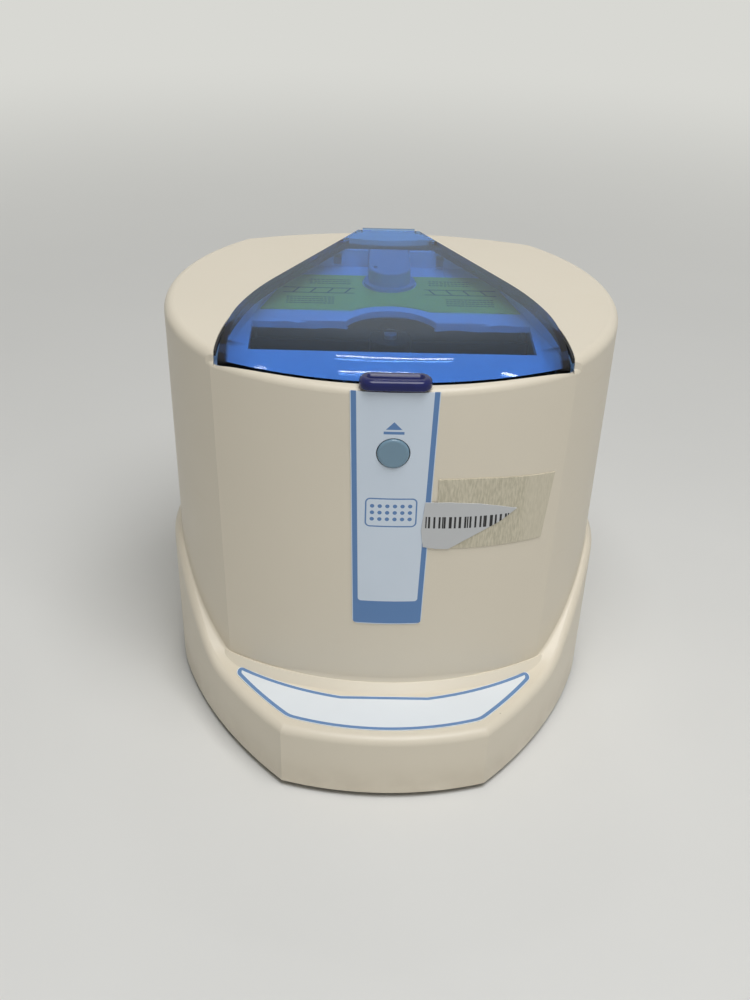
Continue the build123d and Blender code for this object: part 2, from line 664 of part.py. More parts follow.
PANEL_SCREW_Z = (PANEL_LOW_Z + PANEL_SCREW_INSET, PANEL_HIGH_Z - PANEL_SCREW_INSET)
PANEL_SCREWS = [(side * (PANEL_HALF - PANEL_SCREW_INSET), z) for side in SIDES for z in PANEL_SCREW_Z]
FOOT_SCREW_TIP_Z = PLATE_TOP_Z + FOOT_BITE
BOARD_Z = PLATE_TOP_Z + STANDOFF_H
STANDOFFS = [(side * (BOARD_HALF - 4), y) for side in SIDES for y in (BOARD_FRONT + 4, BOARD_BACK - 4)]
SUPPLY_SCREWS = [(sum(SUPPLY_X) / 2, side * (SUPPLY_HALF_Y - 5)) for side in SIDES]


def make_base_housing():
    outer = base_block(SKIRT_Z, WING_Z) & under_ramp(0)
    crest = [e for e in outer.edges() if e.center().Z > LEDGE_Z - 0.5 and e.geom_type != GeomType.LINE]
    outer = fillet(crest, LEDGE_ROUND)
    shell = outer - (base_block(SKIRT_Z - 1, WING_Z, WALL) & under_ramp(WALL))
    # Sloping collar round the housing's foot where it meets the ledge.
    collar_low = housing_plan(LEDGE_Z - 1, -FIT - COLLAR - 1.8)
    collar = loft([collar_low, housing_plan(LEDGE_Z + COLLAR, -FIT - 0.8)], ruled=True)
    shell += collar & base_block(SKIRT_Z, WING_Z, WALL)
    # Shelf that the housing's foot stands on, open in the middle for the drive.
    shelf = base_block(FOOT_Z - SEAT_T, FOOT_Z, WALL - 0.5)
    shell += shelf - housing_block(FOOT_Z - SEAT_T - 1, FOOT_Z + 1, SEAT_REACH)
    # Block behind the back panel, with a recess for the panel and a window for the inlet.
    half = PANEL_HALF + PANEL_BOSS
    boss_y = PANEL_Y - 2 * PANEL_BOSS
    boss = block(-half, half, boss_y, RIM_R, PANEL_LOW_Z - PANEL_BOSS, PANEL_HIGH_Z + PANEL_BOSS)
    shell += boss & base_block(SKIRT_Z, WING_Z, WALL / 2)
    shell -= housing_block(FOOT_Z, RIM_Z, -FIT)
    reach = PANEL_HALF + FIT
    shell -= block(-reach, reach, PANEL_Y, RIM_R, PANEL_LOW_Z - FIT, PANEL_HIGH_Z + FIT)
    shell -= block(-APERTURE_X, APERTURE_X, INLET_FRONT_Y, PANEL_Y + 1, *APERTURE_Z)
    for x, z in PANEL_SCREWS:
        shell -= drill_y(x, PANEL_Y - PANEL_SCREW_BITE - 0.3, PANEL_Y + 1, z)
    for x, y in FEET:
        shell += rod(x, y, PLATE_TOP_Z, FOOT_Z - SEAT_T, FOOT_BOSS_R)
        shell -= drill(x, y, PLATE_TOP_Z - 1, FOOT_SCREW_TIP_Z + 1)
    for x, y in HOUSING_SCREWS:
        shell -= drill(x, y, FOOT_Z - SEAT_T - 1, FOOT_Z + 1)
    return shell


def make_bottom_plate():
    plate = extrude(base_plan(PLATE_Z, WALL + 2 * FIT), PLATE_T)
    for x, y in FEET + DAMPERS + STANDOFFS + SUPPLY_SCREWS:
        plate -= drill(x, y, PLATE_Z - 1, PLATE_TOP_Z + 1)
    return plate


def make_foot(x, y, head_z):
    foot = fillet(rod(x, y, 0, PLATE_Z, FOOT_R).edges().sort_by(Axis.Z)[0], 1.0)
    return foot - rod(x, y, -1, head_z, SCREW_HEAD_R + FIT) - drill(x, y, 0, PLATE_Z + 1)


save("upper_housing", make_upper_housing())
save("base_housing", make_base_housing())
save("bottom_plate", make_bottom_plate())
foot_head_z = FOOT_RECESS + SCREW_HEAD_H
save("rubber_feet", group([make_foot(x, y, foot_head_z) for x, y in FEET]))
save("foot_screws", group([screw_up(x, y, foot_head_z, FOOT_SCREW_TIP_Z) for x, y in FEET]))
housing_tip_z = FOOT_Z + BOSS_H - SCREW_TIP - 1
save("housing_screws", group([screw_up(x, y, FOOT_Z - SEAT_T, housing_tip_z) for x, y in HOUSING_SCREWS]))

# ---------------------------------------------------------------- lid


def lid_region(low, high, back_y, inset):
    """Wedge-shaped prism in front of back_y, set in from the opening."""
    return opening_block(low, high, -inset) & block(-RIM_R, RIM_R, -RIM_R, back_y, low - 1, high + 1)


def make_lid():
    high = LID_TOP_Z + 1
    lid = (under_visor(0) - under_visor(LID_T)) & lid_region(STRIKE_LOW_Z, high, LID_BACK_Y, LID_INSET)
    skirt = lid_region(LID_SKIRT_Z, high, LID_SKIRT_BACK, LID_INSET)
    skirt -= opening_block(LID_SKIRT_Z - 1, high + 1, -LID_INSET - LID_T)
    lid += skirt & under_visor(LID_T / 2)
    # The narrow end runs on as a tongue that rolls down round the hinge.
    half = KNUCKLE_HALF
    lid += block(-half, half, LID_BACK_Y - 1, HINGE_Y, LID_LOW_Z, LID_TOP_Z)
    roll = rod_x(-half, half, HINGE_Y, HINGE_Z, HINGE_R) - rod_x(-half, half, HINGE_Y, HINGE_Z, ROLL_R)
    reach = 2 * HINGE_R
    behind = block(-half - 1, half + 1, 0, reach, -reach, reach)
    place = Pos(0, HINGE_Y, HINGE_Z)
    lid += roll & (place * behind) & (place * Rot(60, 0, 0) * behind)
    return lid


def make_hinge_block():
    low = BLOCK_TOP_Z - BLOCK_T
    wedge = lid_region(low, BLOCK_TOP_Z, BLOCK_BACK_Y, LID_INSET)
    arc = rod(0, BLOCK_FRONT_Y + BLOCK_ARC_R, low - 1, BLOCK_TOP_Z + 1, BLOCK_ARC_R)
    piece = (wedge & arc) + block(-KNUCKLE_HALF, KNUCKLE_HALF, BLOCK_BACK_Y - 1, HINGE_Y, low, BLOCK_TOP_Z)
    piece += rod_x(-KNUCKLE_HALF, KNUCKLE_HALF, HINGE_Y, HINGE_Z, KNUCKLE_R)
    piece -= rod_x(-RIM_R, RIM_R, HINGE_Y, HINGE_Z, HINGE_PIN_R + RUN_FIT)
    for side in SIDES:
        x0 = side * HINGE_SPRING_X - HINGE_SPRING_HALF - 2 * LATCH_GAP
        x1 = side * HINGE_SPRING_X + HINGE_SPRING_HALF + 2 * LATCH_GAP
        piece -= rod_x(x0, x1, HINGE_Y, HINGE_Z, KNUCKLE_R + LATCH_GAP)
    return piece


def make_handle():
    half_y = (HANDLE_FRONT - HANDLE_BACK) / 2
    plan = Pos(0, -(HANDLE_FRONT + HANDLE_BACK) / 2, HANDLE_LOW_Z) * RectangleRounded(
        2 * HANDLE_HALF, 2 * half_y, half_y - 0.1
    )
    bar = top_rounded(extrude(plan, HANDLE_TOP_Z - HANDLE_LOW_Z), 1.2)
    groove_y = -(HANDLE_FRONT + HANDLE_BACK) / 2
    groove = block(
        -GROOVE_HALF, GROOVE_HALF, groove_y - GROOVE_W / 2, groove_y + GROOVE_W / 2,
        HANDLE_TOP_Z - GROOVE_DEPTH, HANDLE_TOP_Z + 1,
    )
    return bar - groove - under_visor(-GLUE)


def magnet_pocket(play):
    """Room for the lid magnet in the right edge of the latch tongue."""
    return block(STRIKE_HALF - 3.5 - play, STRIKE_HALF + play, SLIDE_Y + 0.2, SLIDE_BACK_Y - 0.2,
                 BRACKET_TOP_Z + 0.5 - play, BRACKET_TOP_Z + 3.5 + play)


def make_strike():
    tongue = block(-STRIKE_HALF, STRIKE_HALF, SLIDE_Y, SLIDE_BACK_Y, STRIKE_LOW_Z, LID_TOP_Z)
    tongue = tongue & under_visor(LID_T + GLUE)
    notch_x = -STRIKE_HALF + STRIKE_NOTCH
    low, high = HOOK_LOW_Z - 0.8, HOOK_TOP_Z + 0.8
    tongue -= block(-STRIKE_HALF - 1, notch_x, SLIDE_Y - 1, SLIDE_BACK_Y + 1, low, high)
    return tongue - magnet_pocket(0)


def make_gasket():
    low = CEILING_Z
    ring = opening_block(low, RIM_Z - 0.6) - opening_block(low - 1, RIM_Z, -GASKET_T)
    ring = ring & block(-RIM_R, RIM_R, -OPENING_CORNER_Y, BLOCK_FRONT_Y - 2, low - 1, RIM_Z)
    return ring


save("lid", make_lid())
save("lid_hinge_block", make_hinge_block())
save("lid_handle", make_handle())
save("lid_strike", make_strike())
save("lid_magnet", magnet_pocket(0))
save("lid_gasket", make_gasket())
pin_half = NOTCH_HALF + LUG_W - 0.5
save("hinge_pin", rod_x(-pin_half, pin_half, HINGE_Y, HINGE_Z, HINGE_PIN_R))
spring_r = (HINGE_PIN_R + KNUCKLE_R) / 2
spring_x = [side * HINGE_SPRING_X - HINGE_SPRING_HALF for side in SIDES]
spring_l = 2 * HINGE_SPRING_HALF
save("hinge_springs", group([
    coil(x, HINGE_Y, HINGE_Z, spring_l, spring_r, SPRING_WIRE_R, 4) for x in spring_x
]))

# ---------------------------------------------------------------- deck


def tray_half(y, grow=0.0):
    """Half the tray's width at a given depth."""
    taper = (TRAY_FRONT_X - TRAY_BACK_X) / (TRAY_BACK_Y - TRAY_FRONT_Y)
    return TRAY_FRONT_X - (y - TRAY_FRONT_Y) * taper + grow


def tray_block(low, high, front_y, back_y, grow=0.0):
    """Prism of the tapered tray between two depths."""
    front = tray_half(front_y, grow)
    back = tray_half(back_y, grow)
    corners = [(-front, front_y), (front, front_y), (back, back_y), (-back, back_y)]
    return Pos(0, 0, low) * extrude(make_face(Polyline(*corners, close=True)), high - low)


def make_chamber_cover():
    top = CEILING_Z - 0.4
    front = -RIM_R
    inside = housing_block(DECK_LOW_Z, CEILING_Z, WALL + 0.4)
    cover = rod(0, ROTOR_Y, DECK_LOW_Z, DECK_Z, DECK_R)
    cover += tray_block(DECK_LOW_Z, DECK_Z, front, TRAY_BACK_Y + TRAY_WALL, TRAY_WALL)
    for x, y in DECK_EARS:
        cover += rod(x, y, DECK_LOW_Z, DECK_Z, DECK_EAR_R)
    walls = tray_block(DECK_Z, top, front, TRAY_BACK_Y + TRAY_WALL, TRAY_WALL)
    walls -= tray_block(DECK_Z - 1, top + 1, front - 1, TRAY_BACK_Y)
    walls -= block(-RIM_R, RIM_R, -RIM_R, 2 - OPENING_CORNER_Y, DECK_Z - 1, top + 1)
    front_top = LIP_Z - WALL - 0.4
    front_wall = tube(0, VISOR_CENTRE_Y, DECK_Z, front_top, OPENING_FRONT_R + 0.6, OPENING_FRONT_R - 1.6)
    front_wall = front_wall & block(-RIM_R, RIM_R, -RIM_R, 2 - OPENING_CORNER_Y, DECK_Z - 1, top)
    cover += walls + front_wall
    cover = cover & inside
    # Loading slot with a round notch that shows the rotor's hub.
    cover -= block(-SLOT_HALF, SLOT_HALF, -SLOT_FRONT, -SLOT_BACK, DECK_LOW_Z - 1, DECK_Z + 1)
    notch = rod(0, NOTCH_Y, DECK_LOW_Z - 1, DECK_Z + 1, NOTCH_R)
    cover -= notch & block(-NOTCH_R, NOTCH_R, -SLOT_FRONT, RIM_R, DECK_LOW_Z - 2, DECK_Z + 2)
    # Room for the latch tongue and the tower, and two narrow slots that run up the rear wall.
    gap = 1.2
    strike_x = STRIKE_HALF + gap
    cover -= block(-strike_x, strike_x, SLIDE_Y - gap, SLIDE_BACK_Y + gap, DECK_LOW_Z - 1, DECK_Z + 1)
    tower_half = TOWER_R + FIT
    cover -= block(-tower_half, tower_half, TRAY_BACK_Y - 1, TRAY_BACK_Y + TRAY_WALL + 1, DECK_Z, top + 1)
    for side in SIDES:
        x0 = side * WALL_SLOT_X - WALL_SLOT_W / 2
        x1 = side * WALL_SLOT_X + WALL_SLOT_W / 2
        cover -= block(x0, x1, WALL_SLOT_FRONT_Y, TRAY_BACK_Y + TRAY_WALL + 1, DECK_Z - 1, WALL_SLOT_TOP_Z)
    for x, y in DECK_EARS:
        cover -= drill(x, y, DECK_LOW_Z - 1, DECK_Z + 1)
    return cover - drill(0, TOWER_Y, DECK_LOW_Z - 1, DECK_Z + 1)


def make_tower():
    back_y = TRAY_BACK_Y + TRAY_WALL
    tower = rod(0, TOWER_Y, DECK_Z, TOWER_TOP_Z, TOWER_R)
    tower += block(-TOWER_R, TOWER_R, TOWER_Y, back_y, DECK_Z, TOWER_TOP_Z)
    tower = top_rounded(tower, 1.0)
    tower += rod(0, TOWER_Y, DECK_Z, DECK_Z + TOWER_FLANGE_T, TOWER_FLANGE_R)
    tower -= rod(-7.2, TOWER_Y - 1, TOWER_TOP_Z - 2, TOWER_TOP_Z + 1, 1.2)
    return tower - drill(0, TOWER_Y, DECK_Z - 1, DECK_Z + SCREW_TIP + 1)


def make_deck_label():
    sheet = tray_block(DECK_Z, DECK_Z + SHEET_T, LABEL_FRONT_Y, LABEL_BACK_Y, -1.2)
    sheet -= rod(0, NOTCH_Y, DECK_Z - 1, DECK_Z + 1, NOTCH_R + 6)
    sheet -= rod(0, TOWER_Y, DECK_Z - 1, DECK_Z + 1, TOWER_FLANGE_R + 0.8)
    tower_half = TOWER_R + 0.8
    return sheet - block(-tower_half, tower_half, TOWER_Y, TRAY_BACK_Y, DECK_Z - 1, DECK_Z + 1)


save("chamber_cover", make_chamber_cover())
save("rear_tower", make_tower())
save("tower_screw", screw_up(0, TOWER_Y, DECK_LOW_Z, DECK_Z + SCREW_TIP))
save("deck_label", make_deck_label())

# ---------------------------------------------------------------- chamber and rotor


def make_chamber():
    ear_z = DECK_LOW_Z - CHAMBER_FLANGE_T
    bowl = rod(0, ROTOR_Y, CHAMBER_FLOOR_Z, DECK_LOW_Z, CHAMBER_OUT_R)
    wings = rod(0, ROTOR_Y, ear_z, DECK_LOW_Z, DECK_R)
    reach = DECK_EAR_R + 3
    bowl += wings & block(-RIM_R, RIM_R, -DECK_EAR_FRONT - reach, DECK_EAR_BACK + reach, ear_z, DECK_LOW_Z)
    for x, y in DECK_EARS:
        bowl += rod(x, y, ear_z, DECK_LOW_Z, DECK_EAR_R)
    bowl -= rod(0, ROTOR_Y, CHAMBER_FLOOR_Z + CHAMBER_FLANGE_T, DECK_LOW_Z + 1, CHAMBER_R)
    bowl -= rod(0, ROTOR_Y, CHAMBER_FLOOR_Z - 1, DECK_LOW_Z, CHAMBER_HOLE_R)
    for x, y in DECK_EARS:
        bowl -= drill(x, y, ear_z - 1, DECK_LOW_Z + 1)
    return bowl


CARRIER_SCREW_Y = (POCKET_IN + POCKET_OUT) / 2
CARRIER_SCREWS = [
    (x * CARRIER_SCREW_X, ROTOR_Y + y * CARRIER_SCREW_Y) for x in SIDES for y in SIDES
]


def make_hub():
    hub = rod(0, ROTOR_Y, ROTOR_FLOOR_Z, CARRIER_FLOOR_Z, ROTOR_FLOOR_R)
    hub += rod(0, ROTOR_Y, ROTOR_FLOOR_Z, HUB_TOP_Z, HUB_R)
    hub += rod(0, ROTOR_Y, ROTOR_FLOOR_Z - HUB_BOSS_H, ROTOR_FLOOR_Z, HUB_BOSS_R)
    hub -= rod(0, ROTOR_Y, ROTOR_FLOOR_Z - HUB_BOSS_H - 1, SHAFT_TOP_Z, SHAFT_R)
    hub -= drill(0, ROTOR_Y, HUB_TOP_Z - 2 * SCREW_TIP - 1, HUB_TOP_Z + 1)
    for x, y in CARRIER_SCREWS:
        hub -= drill(x, y, ROTOR_FLOOR_Z - 1, CARRIER_FLOOR_Z + 1)
    return hub


def make_carrier(side):
    """Open-topped holder for one upright plate, in front of the hub (-1) or behind it (1)."""
    y_in = ROTOR_Y + side * (POCKET_IN - CARRIER_T)
    y_out = ROTOR_Y + side * (POCKET_OUT + CARRIER_T)
    low, high = sorted((y_in, y_out))
    holder = block(-CARRIER_HALF, CARRIER_HALF, low, high, CARRIER_FLOOR_Z, CARRIER_TOP_Z)
    low, high = sorted((ROTOR_Y + side * POCKET_IN, ROTOR_Y + side * POCKET_OUT))
    pocket_z = CARRIER_FLOOR_Z + CARRIER_T
    holder -= block(-POCKET_HALF, POCKET_HALF, low, high, pocket_z, CARRIER_TOP_Z + 1)
    for x, y in CARRIER_SCREWS:
        holder -= drill(x, y, CARRIER_FLOOR_Z - 1, pocket_z + 1)
    return holder


save("rotor_chamber", make_chamber())
ear_head_z = DECK_LOW_Z - CHAMBER_FLANGE_T
save("deck_screws", group([screw_up(x, y, ear_head_z, DECK_Z + SCREW_TIP) for x, y in DECK_EARS]))
save("rotor_hub", make_hub())
save("plate_carrier_front", make_carrier(-1))
save("plate_carrier_rear", make_carrier(1))
carrier_tip_z = CARRIER_FLOOR_Z + CARRIER_T - 0.2
save("carrier_screws", group([screw_up(x, y, ROTOR_FLOOR_Z, carrier_tip_z) for x, y in CARRIER_SCREWS]))
save("rotor_screw", screw_down(0, ROTOR_Y, HUB_TOP_Z, HUB_TOP_Z - 2 * SCREW_TIP))

# ---------------------------------------------------------------- drive

BEARING_LOW_Z = MOTOR_Z + MOTOR_WALL
BEARING_HIGH_Z = MOTOR_TOP_Z - BEARING_W / 2
STATOR_LOW_Z = BEARING_LOW_Z + BEARING_W + 2.0
STATOR_HIGH_Z = BEARING_HIGH_Z - 4.0
MOTOR_SCREWS = [(x * MOTOR_SCREW_PITCH, ROTOR_Y + y * MOTOR_SCREW_PITCH) for x in SIDES for y in SIDES]


def make_motor_can():
    inner_r = MOTOR_R - MOTOR_WALL
    can = rod(0, ROTOR_Y, MOTOR_Z, MOTOR_TOP_Z - MOTOR_WALL, MOTOR_R)
    can -= rod(0, ROTOR_Y, BEARING_LOW_Z, MOTOR_TOP_Z, inner_r)
    can += tube(0, ROTOR_Y, BEARING_LOW_Z, BEARING_LOW_Z + BEARING_W, BEARING_SEAT_R, BEARING_R)
    for x, y in MOTOR_SCREWS:
        can -= drill(x, y, MOTOR_Z - 1, BEARING_LOW_Z + 1)
    return can


def make_motor_cap():
    cap = rod(0, ROTOR_Y, MOTOR_TOP_Z - MOTOR_WALL, MOTOR_TOP_Z, MOTOR_R)
    cap += rod(0, ROTOR_Y, BEARING_HIGH_Z, BEARING_HIGH_Z + BEARING_W, BEARING_SEAT_R)
    cap -= rod(0, ROTOR_Y, MOTOR_TOP_Z - MOTOR_WALL - 1, BEARING_HIGH_Z + BEARING_W + 1, BEARING_R)
    return cap


def make_motor_plate():
    half = MOTOR_PLATE_HALF
    plate = block(-half, half, ROTOR_Y - half, ROTOR_Y + half, MOTOR_PLATE_Z, MOTOR_Z)
    for x, y in MOTOR_SCREWS + DAMPERS:
        plate -= drill(x, y, MOTOR_PLATE_Z - 1, MOTOR_Z + 1)
    return plate


save("motor_can", make_motor_can())
save("motor_cap", make_motor_cap())
save("motor_plate", make_motor_plate())
shaft = rod(0, ROTOR_Y, BEARING_LOW_Z + FIT, SHAFT_TOP_Z, SHAFT_R)
save("motor_shaft", shaft)
save("motor_magnet", tube(0, ROTOR_Y, STATOR_LOW_Z, STATOR_HIGH_Z, MAGNET_R, SHAFT_R))
stator_r = MOTOR_R - MOTOR_WALL - FIT
save("motor_stator", tube(0, ROTOR_Y, STATOR_LOW_Z, STATOR_HIGH_Z, stator_r, STATOR_IN_R))
save("motor_bearings", group([
    tube(0, ROTOR_Y, z, z + BEARING_W, BEARING_R, SHAFT_R + RUN_FIT)
    for z in (BEARING_LOW_Z, BEARING_HIGH_Z)
]))
damper_mid_z = PLATE_TOP_Z + DAMPER_H / 2
save("motor_dampers", group([
    rod(x, y, PLATE_TOP_Z, MOTOR_PLATE_Z, DAMPER_R) - drill(x, y, PLATE_TOP_Z - 1, MOTOR_PLATE_Z + 1)
    for x, y in DAMPERS
]))
save("motor_screws", group(
    [screw_up(x, y, MOTOR_PLATE_Z, BEARING_LOW_Z - 0.2) for x, y in MOTOR_SCREWS]
    + [screw_up(x, y, PLATE_Z, damper_mid_z - 0.5) for x, y in DAMPERS]
    + [screw_down(x, y, MOTOR_Z, damper_mid_z + 0.5) for x, y in DAMPERS]
))

# ---------------------------------------------------------------- electronics


def make_board():
    board = block(-BOARD_HALF, BOARD_HALF, BOARD_FRONT, BOARD_BACK, BOARD_Z, BOARD_Z + BOARD_T)
    for x, y in STANDOFFS:
        board -= drill(x, y, BOARD_Z - 1, BOARD_Z + BOARD_T + 1)
    return board


def make_supply():
    x0, x1 = SUPPLY_X
    half = SUPPLY_HALF_Y
    case = block(x0, x1, -half, half, PLATE_TOP_Z, PLATE_TOP_Z + SUPPLY_H)
    for x, y in SUPPLY_SCREWS:
        case -= drill(x, y, PLATE_TOP_Z - 1, PLATE_TOP_Z + SCREW_TIP)
    top = PLATE_TOP_Z + SUPPLY_H
    for i in range(-3, 4):
        case -= block(x0 + 4, x1 - 4, i * 5 - 1, i * 5 + 1, top - 1.5, top + 1)
    return case


save("control_board", make_board())
board_top = BOARD_Z + BOARD_T
board_mid = (BOARD_FRONT + BOARD_BACK) / 2
chip_x = -CHIP_HALF - 2
driver_x = CHIP_HALF + DRIVER_HALF[0] + 5
plug_y = BOARD_BACK - PLUG_H - 1
save("board_parts", group([
    block(chip_x, chip_x + 2 * CHIP_HALF, board_mid - CHIP_HALF, board_mid + CHIP_HALF,
          board_top, board_top + BOARD_T),
    block(driver_x - DRIVER_HALF[0], driver_x + DRIVER_HALF[0], board_mid - DRIVER_HALF[1],
          board_mid + DRIVER_HALF[1], board_top, board_top + 1.5 * BOARD_T),
    block(-PLUG_W[0] - 15, -15, plug_y, plug_y + PLUG_H, board_top, board_top + PLUG_H),
    block(4, 4 + PLUG_W[1], plug_y, plug_y + PLUG_H, board_top, board_top + PLUG_H),
    rod(-21, board_mid - 2, board_top, board_top + 7, CAPACITOR_R[0]),
    rod(-12, board_mid - 12, board_top, board_top + 6, CAPACITOR_R[1]),
]))
save("board_standoffs", group([
    rod(x, y, PLATE_TOP_Z, BOARD_Z, STANDOFF_R) - drill(x, y, PLATE_TOP_Z - 1, BOARD_Z + 1)
    for x, y in STANDOFFS
]))
save("board_screws", group(
    [screw_down(x, y, board_top, BOARD_Z - STANDOFF_H / 2 + 0.3) for x, y in STANDOFFS]
    + [screw_up(x, y, PLATE_Z, BOARD_Z - STANDOFF_H / 2 - 0.3) for x, y in STANDOFFS]
    + [screw_up(x, y, PLATE_Z, PLATE_TOP_Z + SCREW_TIP - 1) for x, y in SUPPLY_SCREWS]
))
save("power_supply", make_supply())

# ---------------------------------------------------------------- open button and latch


def make_button():
    front_y = FRONT_INNER_Y - WALL - BUTTON_PROUD
    cap = rod_y(0, front_y, FLANGE_Y, BUTTON_Z, BUTTON_R)
    cap = fillet(cap.edges().sort_by(Axis.Y)[0], 1.2)
    cap += rod_y(0, FLANGE_Y, FLANGE_BACK_Y, BUTTON_Z, BUTTON_FLANGE_R)
    depth = WEDGE_TIP_Y - FLANGE_BACK_Y
    half = WEDGE_HALF_X
    corners = [
        (-half, FLANGE_BACK_Y), (half, FLANGE_BACK_Y), (half, WEDGE_TIP_Y), (depth - half, WEDGE_TIP_Y),
    ]
    wedge = extrude(make_face(Polyline(*corners, close=True)), 2 * WEDGE_HALF_Z)
    return cap + Pos(0, 0, BUTTON_Z - WEDGE_HALF_Z) * wedge


def make_slide():
    gap = 0.5
    slide = block(-SLIDE_LEFT, SLIDE_RIGHT, SLIDE_Y, SLIDE_BACK_Y, SLIDE_LOW_Z, SLIDE_TOP_Z)
    arm_x = SLIDE_ARM_W - SLIDE_LEFT
    slide += block(-SLIDE_LEFT, arm_x, SLIDE_Y, SLIDE_BACK_Y, SLIDE_LOW_Z, HOOK_TOP_Z)
    nose_x = -STRIKE_HALF - BUTTON_GAP
    slide += block(-SLIDE_LEFT, nose_x, SLIDE_Y, SLIDE_BACK_Y, HOOK_LOW_Z, HOOK_TOP_Z)
    # Window for the button's wedge. Its left edge slopes as the wedge does.
    near = SLIDE_Y - FLANGE_BACK_Y - WEDGE_HALF_X - gap
    far = near + LATCH_T
    right = WEDGE_HALF_X + BUTTON_TRAVEL + gap
    y0, y1 = SLIDE_Y - 1, SLIDE_BACK_Y + 1
    corners = [(near - 1, y0), (right, y0), (right, y1), (far + 1, y1)]
    window = extrude(make_face(Polyline(*corners, close=True)), 2 * (WEDGE_HALF_Z + gap))
    slide -= Pos(0, 0, BUTTON_Z - WEDGE_HALF_Z - gap) * window
    slot_r = SCREW_R + LATCH_GAP
    for x in SLIDE_SCREW_X:
        slide -= rod_y(x, y0, y1, BUTTON_Z, slot_r)
        slide -= rod_y(x + BUTTON_TRAVEL, y0, y1, BUTTON_Z, slot_r)
        slide -= block(x, x + BUTTON_TRAVEL, y0, y1, BUTTON_Z - slot_r, BUTTON_Z + slot_r)
    return slide


def make_bracket():
    half = BRACKET_HALF
    bracket = block(-half, half, -RIM_FRONT, BRACKET_BACK_Y, BRACKET_LOW_Z, BRACKET_TOP_Z)
    bracket = bracket & housing_block(FOOT_Z, RIM_Z, WALL)
    inner = BRACKET_SCREW_X - SCREW_HEAD_R - 2.5
    bracket -= block(-inner, inner, -RIM_FRONT, BRACKET_Y, BRACKET_LOW_Z - 1, BRACKET_TOP_Z + 1)
    bracket -= rod_y(0, -RIM_FRONT, BRACKET_BACK_Y + 1, BUTTON_Z, BUTTON_FLANGE_R + 0.6)
    lug_y = BRACKET_BACK_Y + 2 * LATCH_SPRING_Y
    bracket += block(LUG_X, LUG_X + 1.5, BRACKET_BACK_Y, lug_y, BUTTON_Z - 2.2, BUTTON_Z + 2.2)
    for x, z in BRACKET_SCREWS:
        bracket -= drill_y(x, -RIM_FRONT, BRACKET_BACK_Y + 1, z)
    for x in SLIDE_SCREW_X:
        bracket -= drill_y(x, -RIM_FRONT, BRACKET_BACK_Y + 1, BUTTON_Z)
    return bracket


LUG_X = -SLIDE_LEFT - BUTTON_TRAVEL - 7.5
LATCH_SPRING_Y = LATCH_SPRING_R + SPRING_WIRE_R + LATCH_GAP
slide_head_y = SLIDE_BACK_Y + LATCH_GAP
save("open_button", make_button())
save("latch_slide", make_slide())
save("latch_bracket", make_bracket())
save("latch_screws", group(
    [rod_y(x, BRACKET_BACK_Y, BRACKET_BACK_Y + SCREW_HEAD_H, z, SCREW_HEAD_R)
     + rod_y(x, BRACKET_TIP_Y[z], BRACKET_BACK_Y, z, SCREW_R) for x, z in BRACKET_SCREWS]
    + [rod_y(x, slide_head_y, slide_head_y + 1.6, BUTTON_Z, SCREW_HEAD_R)
       + rod_y(x, BRACKET_Y, slide_head_y, BUTTON_Z, SCREW_R) for x in SLIDE_SCREW_X]
))
spring_x = LUG_X + 1.5 + SPRING_WIRE_R + 0.02
spring_length = -SLIDE_LEFT - BUTTON_TRAVEL - LATCH_GAP - SPRING_WIRE_R - spring_x
save("latch_spring", coil(
    spring_x, BRACKET_BACK_Y + LATCH_SPRING_Y, BUTTON_Z, spring_length, LATCH_SPRING_R, SPRING_WIRE_R, 5
))
sensor_x = STRIKE_HALF + 3
sensor_z = BRACKET_TOP_Z + 0.2
save("lid_sensor", block(sensor_x, sensor_x + 6, BRACKET_Y, SLIDE_BACK_Y + 1, sensor_z, DECK_LOW_Z))

# ---------------------------------------------------------------- back panel

PANEL_BACK_Y = PANEL_Y + PANEL_T
FLANGE_OUT_Y = PANEL_BACK_Y + FLANGE_T
INLET_Z = (INLET_LOW_Z + INLET_HIGH_Z) / 2
INLET_HALF_Z = (INLET_HIGH_Z - INLET_LOW_Z) / 2
PANEL_Z = (PANEL_LOW_Z + PANEL_HIGH_Z) / 2
SOCKET_Z = (SOCKET_LOW_Z + SOCKET_HIGH_Z) / 2
FUSE_Z = (FUSE_LOW_Z + FUSE_HIGH_Z) / 2
FUSE_HALF_Z = (FUSE_HIGH_Z - FUSE_LOW_Z) / 2
ROCKER_Y = FLANGE_OUT_Y - ROCKER_FACE


def make_panel():
    panel = slab(0, PANEL_Z, PANEL_HALF, (PANEL_HIGH_Z - PANEL_LOW_Z) / 2, PANEL_Y, PANEL_BACK_Y, 0)
    y0, y1 = PANEL_Y - 1, PANEL_BACK_Y + 1
    panel -= slab(INLET_X, INLET_Z, INLET_HALF + FIT, INLET_HALF_Z + FIT, y0, y1, 0)
    panel -= slab(SWITCH_X, SWITCH_Z, SWITCH_HALF_X + FIT, SWITCH_HALF_Z + FIT, y0, y1, 0)
    for x, z in PANEL_SCREWS:
        panel -= drill_y(x, PANEL_Y - 1, PANEL_BACK_Y + 1, z)
    return panel


